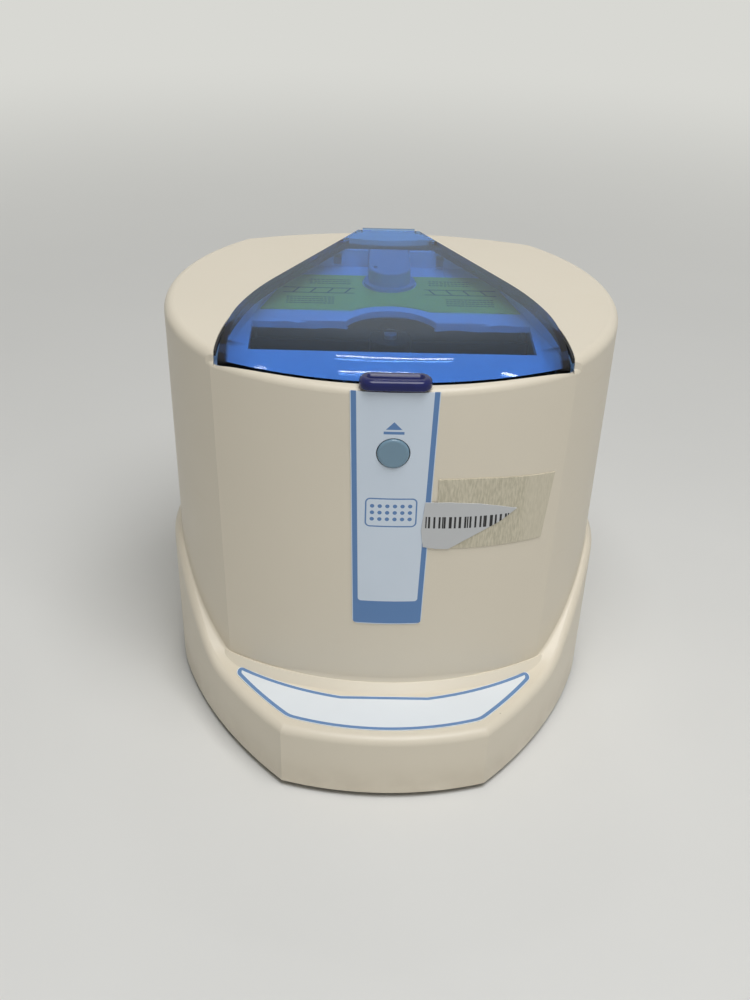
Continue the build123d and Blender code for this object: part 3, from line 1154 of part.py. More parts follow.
def make_inlet():
    inlet = slab(INLET_X, INLET_Z, INLET_HALF, INLET_HALF_Z, INLET_FRONT_Y, PANEL_BACK_Y, 0)
    inlet += slab(INLET_X, INLET_Z, INLET_HALF + 1.6, INLET_HALF_Z + 1.6, PANEL_BACK_Y, FLANGE_OUT_Y, 1.5)
    socket_half_z = (SOCKET_HIGH_Z - SOCKET_LOW_Z) / 2
    socket_y = FLANGE_OUT_Y - SOCKET_DEPTH
    inlet -= slab(INLET_X, SOCKET_Z, SOCKET_HALF, socket_half_z, socket_y, FLANGE_OUT_Y + 1, 3)
    gap = 2 * FIT
    fuse_y = FLANGE_OUT_Y - FUSE_LENGTH - gap
    inlet -= slab(INLET_X, FUSE_Z, FUSE_HALF + gap, FUSE_HALF_Z + gap, fuse_y, FLANGE_OUT_Y + 1, 0)
    return inlet


def make_pins():
    """Three blades that stand in the socket."""
    y0 = FLANGE_OUT_Y - SOCKET_DEPTH
    y1 = y0 + PIN_LENGTH
    return group([
        block(INLET_X + x - 1, INLET_X + x + 1, y0, y1, SOCKET_Z + z - 2, SOCKET_Z + z + 2)
        for x, z in ((-7, -1), (0, 2.5), (7, -1))
    ])


def make_fuse_drawer():
    face_y = FLANGE_OUT_Y + 0.1
    drawer = slab(INLET_X, FUSE_Z, FUSE_HALF, FUSE_HALF_Z, FLANGE_OUT_Y - FUSE_LENGTH, face_y, 0)
    drawer += slab(INLET_X, FUSE_Z, FUSE_HALF + 1.2, FUSE_HALF_Z + 1.2, face_y, face_y + 1.6, 1)
    y0 = FLANGE_OUT_Y - FUSE_LENGTH + 1.5
    clip_half = FUSE_R + FIT
    clip_z = FUSE_LOW_Z + 1
    drawer -= block(INLET_X - clip_half, INLET_X + clip_half, y0, y0 + FUSE_CLIP, clip_z, FUSE_HIGH_Z + 1)
    return drawer - block(INLET_X - 4, INLET_X + 4, face_y + 0.8, face_y + 2, FUSE_Z - 0.8, FUSE_Z + 0.8)


def make_switch_frame():
    back_y = FLANGE_OUT_Y
    frame = slab(SWITCH_X, SWITCH_Z, SWITCH_HALF_X, SWITCH_HALF_Z, ROCKER_Y - ROCKER_R - 3, PANEL_BACK_Y, 0)
    frame += slab(SWITCH_X, SWITCH_Z, SWITCH_HALF_X + 1.8, SWITCH_HALF_Z + 1.8, PANEL_BACK_Y, back_y, 1.5)
    x0 = SWITCH_X - ROCKER_HALF_X - LATCH_GAP
    x1 = SWITCH_X + ROCKER_HALF_X + LATCH_GAP
    r = ROCKER_R + LATCH_GAP
    frame -= rod_x(x0, x1, ROCKER_Y, SWITCH_Z, r)
    frame -= block(x0, x1, ROCKER_Y, back_y + 1, SWITCH_Z - r, SWITCH_Z + r)
    pin_x = ROCKER_HALF_X + 1.2
    return frame - rod_x(SWITCH_X - pin_x, SWITCH_X + pin_x, ROCKER_Y, SWITCH_Z, ROCKER_PIN_R + RUN_FIT)


def make_rocker():
    """Rocker at rest with its upper half pressed in: two flat faces that meet in a blunt ridge."""
    half = ROCKER_HALF_X
    drum = rod_x(-half, half, 0, 0, ROCKER_R)
    reach = 2 * ROCKER_R
    for turn in (ROCKER_TILT, -ROCKER_TILT):
        drum -= Rot(turn, 0, 0) * block(-reach, reach, ROCKER_FACE, reach, -reach, reach)
    drum -= block(-reach, reach, -reach, -ROCKER_FACE, -reach, reach)
    pin_x = ROCKER_HALF_X + 1.0
    drum += rod_x(-pin_x, pin_x, 0, 0, ROCKER_PIN_R)
    return Pos(SWITCH_X, ROCKER_Y, SWITCH_Z) * Rot(ROCKER_TILT, 0, 0) * drum


save("rear_panel", make_panel())
save("mains_inlet", make_inlet())
save("inlet_pins", make_pins())
save("fuse_drawer", make_fuse_drawer())
fuse_y = FLANGE_OUT_Y - FUSE_LENGTH + 1.5
save("fuse", rod_y(INLET_X, fuse_y + 0.3, fuse_y + FUSE_CLIP - 0.3, FUSE_LOW_Z + 1 + FUSE_R, FUSE_R))
save("switch_frame", make_switch_frame())
save("switch_rocker", make_rocker())
save("panel_screws", group([
    rod_y(x, PANEL_BACK_Y, PANEL_BACK_Y + SCREW_HEAD_H, z, SCREW_HEAD_R)
    + rod_y(x, PANEL_Y - PANEL_SCREW_BITE, PANEL_BACK_Y, z, SCREW_R) for x, z in PANEL_SCREWS
]))

# ---------------------------------------------------------------- sheets on the outside


def front_sheet(corners, lift=0.0):
    """Sheet on the housing's front face, outlined by corners given as X and Z."""
    outline = make_face(Polyline(*[(x, 0, z) for x, z in corners], close=True))
    column = Pos(0, -2 * RIM_FRONT, 0) * extrude(outline, 2 * RIM_FRONT, dir=(0, 1, 0))
    skin = housing_block(FOOT_Z, RIM_Z, -lift - SHEET_T) - housing_block(FOOT_Z, RIM_Z, -lift)
    return skin & column


def label_on_front(outline, lift):
    """Sheet whose outline is given from the button's centre."""
    return front_sheet([(x, z + BUTTON_Z) for x, z in outline], lift)


def make_front_panel():
    top_x, low_x = PANEL_SHEET_TOP_HALF, PANEL_SHEET_LOW_HALF
    top_z = RIM_Z - PANEL_SHEET_MARGIN
    low_z = top_z - PANEL_SHEET_H
    sheet = front_sheet([(-low_x, low_z), (low_x, low_z), (top_x, top_z), (-top_x, top_z)])
    corners = sheet.edges().filter_by(Axis.Y).group_by(Axis.Z)[0]
    sheet = fillet(corners, PANEL_SHEET_ROUND)
    return sheet - rod_y(0, -2 * RIM_FRONT, 0, BUTTON_Z, BUTTON_R + BUTTON_GAP)


def make_base_label():
    """Crescent on the chin's ledge: a bowed front, two blunt tips and a back edge that starts straight."""
    back_y = -RIM_FRONT - BASE_SHEET_GAP
    corner = (CHIN_CORNER_X - BASE_SHEET_CORNER[0], BASE_SHEET_CORNER[1] - CHIN_CORNER_Y)
    outline = Line((-BASE_SHEET_FLAT, back_y), (BASE_SHEET_FLAT, back_y))
    outline += ThreePointArc((-corner[0], corner[1]), (0, BASE_SHEET_EDGE - CHIN_FRONT), corner)
    for side in SIDES:
        inner, outer = [(side * x, y) for x, y in BASE_SHEET_TIP]
        end = (side * corner[0], corner[1])
        outline += SagittaArc((side * BASE_SHEET_FLAT, back_y), inner, -side * BASE_SHEET_BOW)
        outline += Line(inner, outer)
        outline += SagittaArc(outer, end, -side * 1.0)
    sheet = extrude(make_face(outline), SHEET_T)
    upright = sheet.edges().filter_by(Axis.Z)
    tips = upright.filter_by(lambda e: abs(e.center().X) > corner[0] + 1)
    sheet = fillet(tips, BASE_SHEET_ROUND)
    chin = sheet.edges().filter_by(Axis.Z).filter_by(lambda e: abs(abs(e.center().X) - corner[0]) < 0.1)
    return Pos(0, 0, LEDGE_Z) * fillet(chin, 3 * BASE_SHEET_ROUND)


save("front_panel", make_front_panel())
save("base_label", make_base_label())
save("masking_tape", label_on_front(TAPE_OUTLINE, 0.0))
save("asset_label", label_on_front(ASSET_OUTLINE, SHEET_T))
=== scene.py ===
import bmesh
import bpy
import math
from mathutils import Matrix, Vector


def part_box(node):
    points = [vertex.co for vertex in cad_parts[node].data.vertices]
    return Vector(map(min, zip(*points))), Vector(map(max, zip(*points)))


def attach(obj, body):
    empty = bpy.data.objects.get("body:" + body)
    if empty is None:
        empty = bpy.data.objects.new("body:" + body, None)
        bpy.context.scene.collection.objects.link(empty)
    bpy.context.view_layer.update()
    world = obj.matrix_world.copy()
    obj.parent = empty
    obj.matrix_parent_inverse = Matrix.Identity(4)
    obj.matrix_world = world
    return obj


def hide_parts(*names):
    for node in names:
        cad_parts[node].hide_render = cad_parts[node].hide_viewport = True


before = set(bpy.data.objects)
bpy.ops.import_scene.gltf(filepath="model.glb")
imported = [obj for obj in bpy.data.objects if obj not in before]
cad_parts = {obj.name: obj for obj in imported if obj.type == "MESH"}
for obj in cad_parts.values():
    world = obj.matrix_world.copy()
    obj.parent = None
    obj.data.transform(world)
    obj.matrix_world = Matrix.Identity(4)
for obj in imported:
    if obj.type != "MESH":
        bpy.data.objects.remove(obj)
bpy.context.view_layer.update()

# ---------------------------------------------------------------- bottom plate and feet
# The machine is put together on a folded steel plate with a grey powder coat. Four turned rubber
# feet are screwed to it from below, and the motor, the board and the supply sit on top of it.


class Value:
    """A node's output. Arithmetic on it adds Math nodes to the same node tree."""

    def __init__(self, nodes, socket):
        self.nodes = nodes
        self.socket = socket

    def maths(self, operation, first, second=0.0):
        return self.nodes.node("ShaderNodeMath", {"operation": operation}, {0: first, 1: second})

    def __add__(self, other):
        return self.maths("ADD", self, other)

    def __radd__(self, other):
        return self.maths("ADD", other, self)

    def __sub__(self, other):
        return self.maths("SUBTRACT", self, other)

    def __rsub__(self, other):
        return self.maths("SUBTRACT", other, self)

    def __mul__(self, other):
        return self.maths("MULTIPLY", self, other)

    def __rmul__(self, other):
        return self.maths("MULTIPLY", other, self)

    def __abs__(self):
        return self.maths("ABSOLUTE", self)

    def root(self):
        return self.maths("SQRT", self)

    def repeat(self, pitch):
        """Distance past the last whole pitch, for a pattern that repeats."""
        return self.maths("FLOORED_MODULO", self, pitch)

    def most(self, other):
        return self.maths("MAXIMUM", self, other)

    def above(self, edge, soft=0.05):
        """1 where the value is over the edge and 0 where it is under it, with a soft step."""
        return self.nodes.node("ShaderNodeMapRange", {"interpolation_type": "SMOOTHSTEP"}, {
            "Value": self, "From Min": edge - soft, "From Max": edge + soft, "To Min": 0.0, "To Max": 1.0,
        })

    def within(self, low, high, soft=0.05):
        return self.above(low, soft) * (1 - self.above(high, soft))


class Nodes:
    """A node tree and the one method that adds a node of any kind to it."""

    def __init__(self, tree):
        self.tree = tree

    def node(self, kind, settings, sockets, output=0):
        """Add one node: its settings first, then the values or links of its sockets."""
        added = self.tree.nodes.new(kind)
        for setting, value in settings.items():
            setattr(added, setting, value)
        for socket, value in sockets.items():
            if isinstance(value, Value):
                self.join(value, added.inputs[socket])
            else:
                added.inputs[socket].default_value = value
        return Value(self, added.outputs[output])

    def join(self, value, socket):
        self.tree.links.new(value.socket, socket)


class Finish(Nodes):
    """A node material for one finish, on a shader whose plain values are set once for all over."""

    def __init__(self, name, colour, rough, **plain):
        self.skin = bpy.data.materials.new(name)
        self.skin.use_nodes = True
        super().__init__(self.skin.node_tree)
        self.shader = self.tree.nodes["Principled BSDF"]
        self.shader.inputs["Base Color"].default_value = colour
        self.shader.inputs["Roughness"].default_value = rough
        for socket, value in plain.items():
            self.shader.inputs[socket.replace("_", " ")].default_value = value

    def place(self):
        """Object coordinates in millimetres as one vector."""
        metres = self.node("ShaderNodeTexCoord", {}, {}, "Object")
        return self.node("ShaderNodeVectorMath", {"operation": "SCALE"}, {0: metres, "Scale": 1000.0})

    def split(self, vector):
        """The three parts of a vector."""
        parts = self.node("ShaderNodeSeparateXYZ", {}, {0: vector})
        return [Value(self, output) for output in parts.socket.node.outputs]

    def axes(self):
        """X, Y and Z in millimetres."""
        return self.split(self.place())

    def noise(self, size, detail=2.0, stretch=(1, 1, 1)):
        """Soft noise from 0 to 1 whose blotches are about size millimetres."""
        scale = [1 / (size * s) for s in stretch]
        scaled = self.node("ShaderNodeVectorMath", {"operation": "MULTIPLY"}, {0: self.place(), 1: scale})
        return self.node("ShaderNodeTexNoise", {}, {"Vector": scaled, "Scale": 1.0, "Detail": detail})

    def specks(self, cell, radius):
        """1 inside small dots that lie about one to a cell."""
        spread = self.node("ShaderNodeTexVoronoi", {}, {"Vector": self.place(), "Scale": 1 / cell})
        return 1 - spread.above(radius / cell, 0.4 * radius / cell)

    def tint(self, mask, under, over):
        """The colour under, with the colour over where the mask is 1."""
        return self.node("ShaderNodeMix", {"data_type": "RGBA"}, {0: mask, 6: under, 7: over}, 2)

    def wear(self, colour, rough, height=None, depth=0.02):
        """Link what changes over the surface. Height is from 0 to 1 and depth is in millimetres."""
        self.join(colour, self.shader.inputs["Base Color"])
        self.join(rough, self.shader.inputs["Roughness"])
        if height is not None:
            metres = depth / 1000
            bump = self.node("ShaderNodeBump", {}, {"Strength": 1.0, "Distance": metres, "Height": height})
            self.join(bump, self.shader.inputs["Normal"])
        return self.skin


def paint(red, green, blue):
    """Shader colour of a paint whose screen values go from 0 to 255."""
    return [((v / 255 + 0.055) / 1.055) ** 2.4 for v in (red, green, blue)] + [1.0]


def shade(colour, factor):
    """The colour made darker or lighter."""
    return [c * factor for c in colour[:3]] + [1.0]


def dress(skin, *nodes):
    """Give CAD nodes a finish."""
    for name in nodes:
        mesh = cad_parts[name].data
        mesh.materials.clear()
        mesh.materials.append(skin)


def powder_coat(name, colour):
    """Baked powder coat: an orange-peel skin with a little dust in it."""
    finish = Finish(name, colour, 0.5)
    peel = finish.noise(0.9, 3)
    dust = finish.noise(22, 4)
    tone = finish.tint(dust.above(0.55, 0.2) * 0.5, colour, shade(colour, 1.25))
    return finish.wear(tone, 0.42 + dust * 0.2, peel, 0.05)


def rubber(name):
    """Moulded black rubber with a bloom of grey dust."""
    finish = Finish(name, paint(34, 34, 35), 0.8)
    bloom = finish.noise(4, 4)
    tone = finish.tint(bloom.above(0.5, 0.25) * 0.6, paint(30, 30, 31), paint(62, 61, 58))
    return finish.wear(tone, 0.7 + bloom * 0.25, finish.noise(0.35, 3), 0.04)


def zinc(name):
    """Bright zinc plate, as on machine screws."""
    finish = Finish(name, paint(176, 178, 180), 0.3, Metallic=1.0)
    cloud = finish.noise(1.6, 3)
    tone = finish.tint(cloud, paint(160, 163, 166), paint(204, 203, 196))
    return finish.wear(tone, 0.24 + cloud * 0.22, finish.noise(0.2, 2), 0.01)


grey_coat = powder_coat("grey_powder_coat", paint(150, 152, 154))
black_rubber = rubber("black_rubber")
screw_zinc = zinc("screw_zinc")
dress(grey_coat, "bottom_plate", "motor_plate")
dress(black_rubber, "rubber_feet", "motor_dampers")
dress(screw_zinc, "foot_screws", "housing_screws", "motor_screws", "board_screws")

# ---------------------------------------------------------------- motor
# A brushless motor stands on four rubber dampers. The can is deep-drawn steel, the cap is turned
# aluminium with a bearing in it, and the ground shaft carries the rotor.

ROTOR_Y = 13.903


def turned(name, colour, rough):
    """Metal turned on a lathe about the rotor's axis: fine rings and a dull film."""
    finish = Finish(name, colour, rough, Metallic=1.0)
    x, y, z = finish.axes()
    back = y - ROTOR_Y
    reach = (x * x + back * back).root()
    one_way = {"noise_dimensions": "1D"}
    rings = finish.node("ShaderNodeTexNoise", one_way, {"W": reach * 4 + z * 3, "Scale": 1.0, "Detail": 2.0})
    film = finish.noise(14, 3)
    tone = finish.tint(rings * 0.6 + film * 0.4, shade(colour, 0.82), shade(colour, 1.08))
    return finish.wear(tone, rough - 0.08 + film * 0.16, rings, 0.02)


turned_aluminium = turned("turned_aluminium", paint(196, 197, 198), 0.36)
ground_steel = turned("ground_steel", paint(180, 180, 182), 0.22)
black_anodised = turned("black_anodised", paint(52, 53, 58), 0.4)
laminations = turned("motor_laminations", paint(96, 96, 100), 0.45)
dress(turned_aluminium, "motor_cap", "rotor_chamber")
dress(ground_steel, "motor_shaft", "motor_bearings", "motor_can")
dress(laminations, "motor_stator", "motor_magnet")

# ---------------------------------------------------------------- board and supply
# The control board is green glass-fibre laminate with copper tracks under the varnish, on brass
# stand-offs. The supply is a closed box in brushed sheet aluminium.


def circuit_board():
    """Green varnish over lanes of wandering tracks, with small tinned pads."""
    finish = Finish("board_varnish", paint(24, 84, 50), 0.28)
    x, y, z = finish.axes()
    weave = finish.noise(0.8, 2)
    lanes = (x + finish.noise(9, 1) * 8).repeat(2.6).within(0.5, 1.1, 0.08)
    crossings = (y + finish.noise(7, 1) * 6).repeat(3.4).within(0.6, 1.1, 0.08)
    tracks = lanes.most(crossings) * finish.noise(12, 1).above(0.5, 0.03)
    tone = finish.tint(tracks, paint(22, 78, 46), paint(44, 122, 72))
    tone = finish.tint(finish.specks(3.1, 0.7), tone, paint(188, 184, 160))
    return finish.wear(tone, 0.24 + weave * 0.1, tracks * 0.7 + weave * 0.3, 0.04)


def brushed(name, colour, stretch):
    """Sheet metal brushed along one direction."""
    finish = Finish(name, colour, 0.34, Metallic=1.0)
    lines = finish.noise(0.3, 2, stretch)
    cloud = finish.noise(16, 3)
    tone = finish.tint(lines * 0.7 + cloud * 0.3, shade(colour, 0.8), shade(colour, 1.1))
    return finish.wear(tone, 0.26 + lines * 0.2, lines, 0.01)


def moulded(name, colour, rough=0.42, grain=0.25, depth=0.02):
    """Injection-moulded plastic: fine spark texture, faint flow marks and a little handling shine."""
    finish = Finish(name, colour, rough)
    texture = finish.noise(grain, 3)
    flow = finish.noise(30, 3)
    tone = finish.tint(flow * 0.8 + texture * 0.2, shade(colour, 0.9), shade(colour, 1.07))
    return finish.wear(tone, rough - 0.08 + flow * 0.16, texture, depth)


satin_black = moulded("satin_black", paint(34, 34, 36), 0.45)
dress(circuit_board(), "control_board")
dress(brushed("sheet_aluminium", paint(190, 191, 192), (1, 30, 1)), "power_supply")
dress(brushed("brass_plate", paint(205, 180, 110), (8, 1, 1)), "board_standoffs", "inlet_pins")
dress(satin_black, "board_parts", "lid_sensor")

# ---------------------------------------------------------------- rotor
# The plates stand in two black glass-filled carriers on a black anodised floor and hub. A screw
# under each end holds a carrier, and the hub's round end shows in the middle of the slot.

carrier_black = moulded("carrier_black", paint(40, 41, 44), 0.5, 0.5, 0.04)
dress(carrier_black, "plate_carrier_front", "plate_carrier_rear")
dress(black_anodised, "rotor_hub")
dress(screw_zinc, "carrier_screws", "rotor_screw", "deck_screws")

# ---------------------------------------------------------------- base and housing
# Both are moulded in cream ABS, the housing as one drafted shell that sits in the base. The skin
# has a fine satin texture, faint flow marks, and years of small specks and hand marks.


def cream_plastic():
    """Cream ABS, a little duller and browner close above the bench."""
    colour = paint(226, 217, 199)
    finish = Finish("cream_plastic", colour, 0.4)
    x, y, z = finish.axes()
    texture = finish.noise(0.3, 3)
    flow = finish.noise(60, 3)
    hands = finish.noise(18, 4)
    tone = finish.tint(flow, shade(colour, 0.965), shade(colour, 1.02))
    # Browner blotches close above the bench, mixed in a little.
    low_blotches = (1 - z.above(14, 10)) * hands.above(0.45, 0.25)
    tone = finish.tint(low_blotches * 0.2, tone, paint(150, 135, 108))
    dots = finish.specks(15, 0.32) * finish.noise(50, 1).above(0.56, 0.05)
    tone = finish.tint(dots * 0.55, tone, paint(120, 108, 88))
    scuffs = finish.noise(5, 5, (6, 6, 1)).above(0.66, 0.06)
    rough = 0.34 + hands * 0.12 + scuffs * 0.08
    return finish.wear(tone, rough, texture * 0.8 + hands * 0.2, 0.018)


cream = cream_plastic()
dress(cream, "base_housing", "upper_housing", "lid_hinge_block")

# ---------------------------------------------------------------- hollow round of the housing
# The wall runs out into the base's top in a hollow round, wide in front and narrow along the
# flanks and the back. It is a ring laid along the seam where the housing stands in the base.

# The wall in millimetres, about the rim's middle: round flanks between a bowed front and back.
MIDDLE_Y = 15.903
RIM_Z = 195.0
RIM_R = 106.0
DRAFT = math.tan(math.radians(2.2))
FRONT_CORNER_X = 79.5
FRONT_REACH = 97.0
BACK_CORNER_X = 73.0
BACK_REACH = 90.5

# The base's top: a ledge in front, a ramp along the flanks with a bend at each end, and a wing.
LEDGE_Z = 34.5
WING_Z = 76.0
RAMP_FRONT_Y = -70.0
RAMP_BACK_Y = -23.0
BEND_R = 26.0
LOW_BEND_Y = (-79.83, -62.62)
HIGH_BEND_Y = (-30.38, -13.17)

# The round: its radius along the flanks, what the front adds to it, and where that fades out.
ROUND_R = 1.3
ROUND_FRONT = 5.2
ROUND_FULL_X = 30.0
ROUND_NONE_X = 74.0
ROUND_STEPS = 160
ROUND_ARC = 10
ROUND_LIFT = 0.04
ROUND_SUNK = -0.4
SEAM_FIRST_Z = 50.0
SEAM_TRIES = 4


def bow_at(part, way, corner_x, middle, reach):
    """Place and way out on the front's bow, whose way is -1, or the back's. Part runs from 0 to 1."""
    rise = middle - math.sqrt(reach * reach - corner_x * corner_x)
    radius = (corner_x * corner_x + rise * rise) / (2 * rise)
    angle = math.asin(corner_x / radius) * (1 - 2 * part)
    out = Vector((math.sin(angle), math.cos(angle))) * way
    return Vector((0, way * (middle - radius))) + radius * out, out


def wall_at(turn, z):
    """Place on the wall and the way out of it. Turn runs from 0 to 4 and is whole at the corners."""
    shrink = (RIM_Z - z) * DRAFT
    reach = RIM_R - shrink
    front_x = FRONT_CORNER_X - shrink
    back_x = BACK_CORNER_X - shrink
    side = int(turn) % 4
    part = turn - int(turn)
    if side == 0:
        return bow_at(part, -1, front_x, FRONT_REACH - shrink, reach)
    if side == 2:
        return bow_at(part, 1, back_x, BACK_REACH - shrink, reach)
    front_turn = -math.atan2(math.sqrt(reach * reach - front_x ** 2), front_x)
    back_turn = math.atan2(math.sqrt(reach * reach - back_x ** 2), back_x)
    angle = front_turn + (back_turn - front_turn) * (part if side == 1 else 1 - part)
    out = Vector((math.cos(angle) * (1 if side == 1 else -1), math.sin(angle)))
    return reach * out, out


def base_top(y):
    """Height of the base's top at a distance behind the rim's middle."""
    if y < LOW_BEND_Y[0]:
        return LEDGE_Z
    if y < LOW_BEND_Y[1]:
        return LEDGE_Z + BEND_R - math.sqrt(BEND_R ** 2 - (y - LOW_BEND_Y[0]) ** 2)
    if y < HIGH_BEND_Y[0]:
        return LEDGE_Z + (y - RAMP_FRONT_Y) * (WING_Z - LEDGE_Z) / (RAMP_BACK_Y - RAMP_FRONT_Y)
    if y < HIGH_BEND_Y[1]:
        return WING_Z - BEND_R + math.sqrt(BEND_R ** 2 - (y - HIGH_BEND_Y[1]) ** 2)
    return WING_Z


def round_point(step, level):
    """Place on the hollow round: levels climb from its foot to its top and return inside the seam."""
    turn = 4 * (step % ROUND_STEPS) / ROUND_STEPS
    spot, out = wall_at(turn, SEAM_FIRST_Z)
    for _ in range(SEAM_TRIES):
        spot, out = wall_at(turn, base_top(spot.y))
    if turn == int(turn):
        just_before = turn - 0.001 if turn else 3.999
        out = (out + wall_at(just_before, base_top(spot.y))[1]).normalized()
    fade = (ROUND_NONE_X - abs(spot.x)) / (ROUND_NONE_X - ROUND_FULL_X)
    fade = min(1, max(0, fade)) if spot.y < 0 else 0
    radius = ROUND_R + ROUND_FRONT * fade * fade * (3 - 2 * fade)
    angle = math.pi / 2 * min(level, ROUND_ARC) / ROUND_ARC
    away = radius * (1 - math.sin(angle))
    up = radius * (1 - math.cos(angle))
    if level == ROUND_ARC + 1:
        away, up = ROUND_SUNK, ROUND_SUNK
    if level == ROUND_ARC + 2:
        away, up = radius, 0
    flat = spot + out * (away + up * DRAFT + ROUND_LIFT)
    return flat.x, flat.y + MIDDLE_Y, base_top(flat.y) + up + ROUND_LIFT


def settle(name, shape, skin, *more, smooth=True):
    """Turn a bmesh into an object at the origin. Its faces say which of the skins they have."""
    mesh = bpy.data.meshes.new(name)
    for each in (skin, *more):
        mesh.materials.append(each)
    shape.to_mesh(mesh)
    shape.free()
    for face in mesh.polygons:
        face.use_smooth = smooth
    if smooth:
        mesh.set_sharp_from_angle(angle=math.radians(40))
    piece = bpy.data.objects.new(name, mesh)
    bpy.context.scene.collection.objects.link(piece)
    return piece


def hollow_round():
    """A grid whose length is laid along the seam and whose width is laid round the section."""
    shape = bmesh.new()
    levels = ROUND_ARC + 2
    bmesh.ops.create_grid(shape, x_segments=ROUND_STEPS, y_segments=levels, size=0.5)
    for point in shape.verts:
        step = round((point.co.x + 0.5) * ROUND_STEPS)
        level = round((point.co.y + 0.5) * levels)
        point.co = Vector(round_point(step, level)) / 1000
    bmesh.ops.remove_doubles(shape, verts=shape.verts, dist=1e-6)
    bmesh.ops.recalc_face_normals(shape, faces=shape.faces)
    return settle("housing_cove", shape, cream)


cove = hollow_round()
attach(cove, "case")

# ---------------------------------------------------------------- deck
# The deck is one moulding in pale grey plastic. It carries a printed film with plain ruled
# boxes, and a grey tower that covers the motor lead and holds the deck down with one screw.


def deck_film():
    """Yellow-green film with a row of slanted boxes between two rules, and bars for small print."""
    film = paint(232, 222, 96)
    ink = paint(52, 56, 52)
    finish = Finish("deck_film", film, 0.45)
    x, y, z = finish.axes()
    side = abs(x)
    depth = y - MIDDLE_Y
    row_front, row_back, rule = 26.2, 33.6, 0.8
    slant = (side + depth * 0.45).repeat(8.4)
    boxes = slant.within(0.0, 0.9, 0.12) * depth.within(row_front, row_back, 0.12)
    near_rule = depth.within(row_front, row_front + rule, 0.12)
    far_rule = depth.within(row_back - rule, row_back, 0.12)
    row = boxes.most(near_rule).most(far_rule) * side.within(17.0, 52.0, 0.15)
    lines = (depth - 12.0).repeat(2.6).within(0.7, 1.7, 0.12)
    words = (side * 1.7 + finish.noise(2.0, 0) * 2.4).repeat(3.1).within(0.35, 2.6, 0.15)
    near_text = depth.within(12.3, 22.9, 0.1) * side.within(27.0, 50.0, 0.2)
    far_text = depth.within(38.0, 45.6, 0.1) * side.within(19.0, 40.0, 0.2)
    marks = row.most(lines * words * near_text.most(far_text))
    flow = finish.noise(14, 3)
    tone = finish.tint(flow, shade(film, 0.92), shade(film, 1.04))
    tone = finish.tint(marks * 0.85, tone, ink)
    return finish.wear(tone, 0.4 + flow * 0.15, finish.noise(0.5, 2), 0.01)


dress(moulded("deck_grey", paint(208, 215, 221), 0.38), "chamber_cover")
dress(moulded("tower_grey", paint(168, 175, 180), 0.36), "rear_tower")
dress(screw_zinc, "tower_screw")
dress(deck_film(), "deck_label")

# ---------------------------------------------------------------- back panel
# A cream-coated steel plate closes the back. A black inlet with a fuse drawer and a black mains
# rocker are snapped into it.


def rocker_black():
    """Glossy black with a white bar in one end of the rocker and a white ring in the other."""
    colour = paint(30, 30, 32)
    finish = Finish("rocker_black", colour, 0.22)
    x, y, z = finish.axes()
    low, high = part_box("switch_rocker")
    middle_x, middle_z = (1000 * (low[i] + high[i]) / 2 for i in (0, 2))
    quarter = 1000 * (high[2] - low[2]) / 4
    side = abs(x - middle_x)
    bar = (1 - side.above(0.35, 0.05)) * (1 - abs(z - middle_z - quarter).above(1.6, 0.05))
    drop = z - middle_z + quarter
    ring = (side * side + drop * drop).root().within(1.05, 1.7, 0.05)
    flow = finish.noise(9, 3)
    tone = finish.tint(flow, shade(colour, 0.85), shade(colour, 1.2))
    tone = finish.tint(bar.most(ring), tone, paint(225, 225, 222))
    return finish.wear(tone, 0.18 + flow * 0.12, finish.noise(0.4, 2), 0.006)


def fuse_glass():
    """Clear glass tube with a metal cap at each end."""
    glass = paint(214, 220, 222)
    finish = Finish("fuse_glass", glass, 0.1, Transmission_Weight=0.85)
    x, y, z = finish.axes()
    caps = 1 - y.within(97.5, 104.5, 0.2)
    tone = finish.tint(caps, glass, paint(150, 150, 152))
    return finish.wear(tone, 0.1 + caps * 0.2, finish.noise(0.3, 2), 0.01)


dress(powder_coat("cream_coat", paint(214, 205, 186)), "rear_panel")
dress(satin_black, "mains_inlet", "fuse_drawer", "switch_frame")
dress(screw_zinc, "panel_screws")
dress(rocker_black(), "switch_rocker")
dress(fuse_glass(), "fuse")

# ---------------------------------------------------------------- latch and button
# The open button is a grey-teal cap behind the front wall. Its wedge drives a white acetal slide
# that runs on two screws and hooks the tongue under the lid.

dress(moulded("button_teal", paint(116, 146, 166), 0.24, 0.4, 0.006), "open_button")
dress(moulded("white_acetal", paint(224, 224, 218), 0.4), "latch_slide", "latch_bracket", "lid_strike")
dress(screw_zinc, "latch_screws")
dress(ground_steel, "latch_spring", "hinge_springs", "hinge_pin", "lid_magnet")

# ---------------------------------------------------------------- lid
# The lid is clear blue polycarbonate that bows down at the front. Its cut edges and the skirt under its
# sides are painted almost black-blue: painted shade for the light running inside the sheet and the gap's
# shadow.

SKIRT_TOP_Z = 192.8
SKIRT_FRONT_Y = -42.0
SKIRT_CORNER_X = 72.0


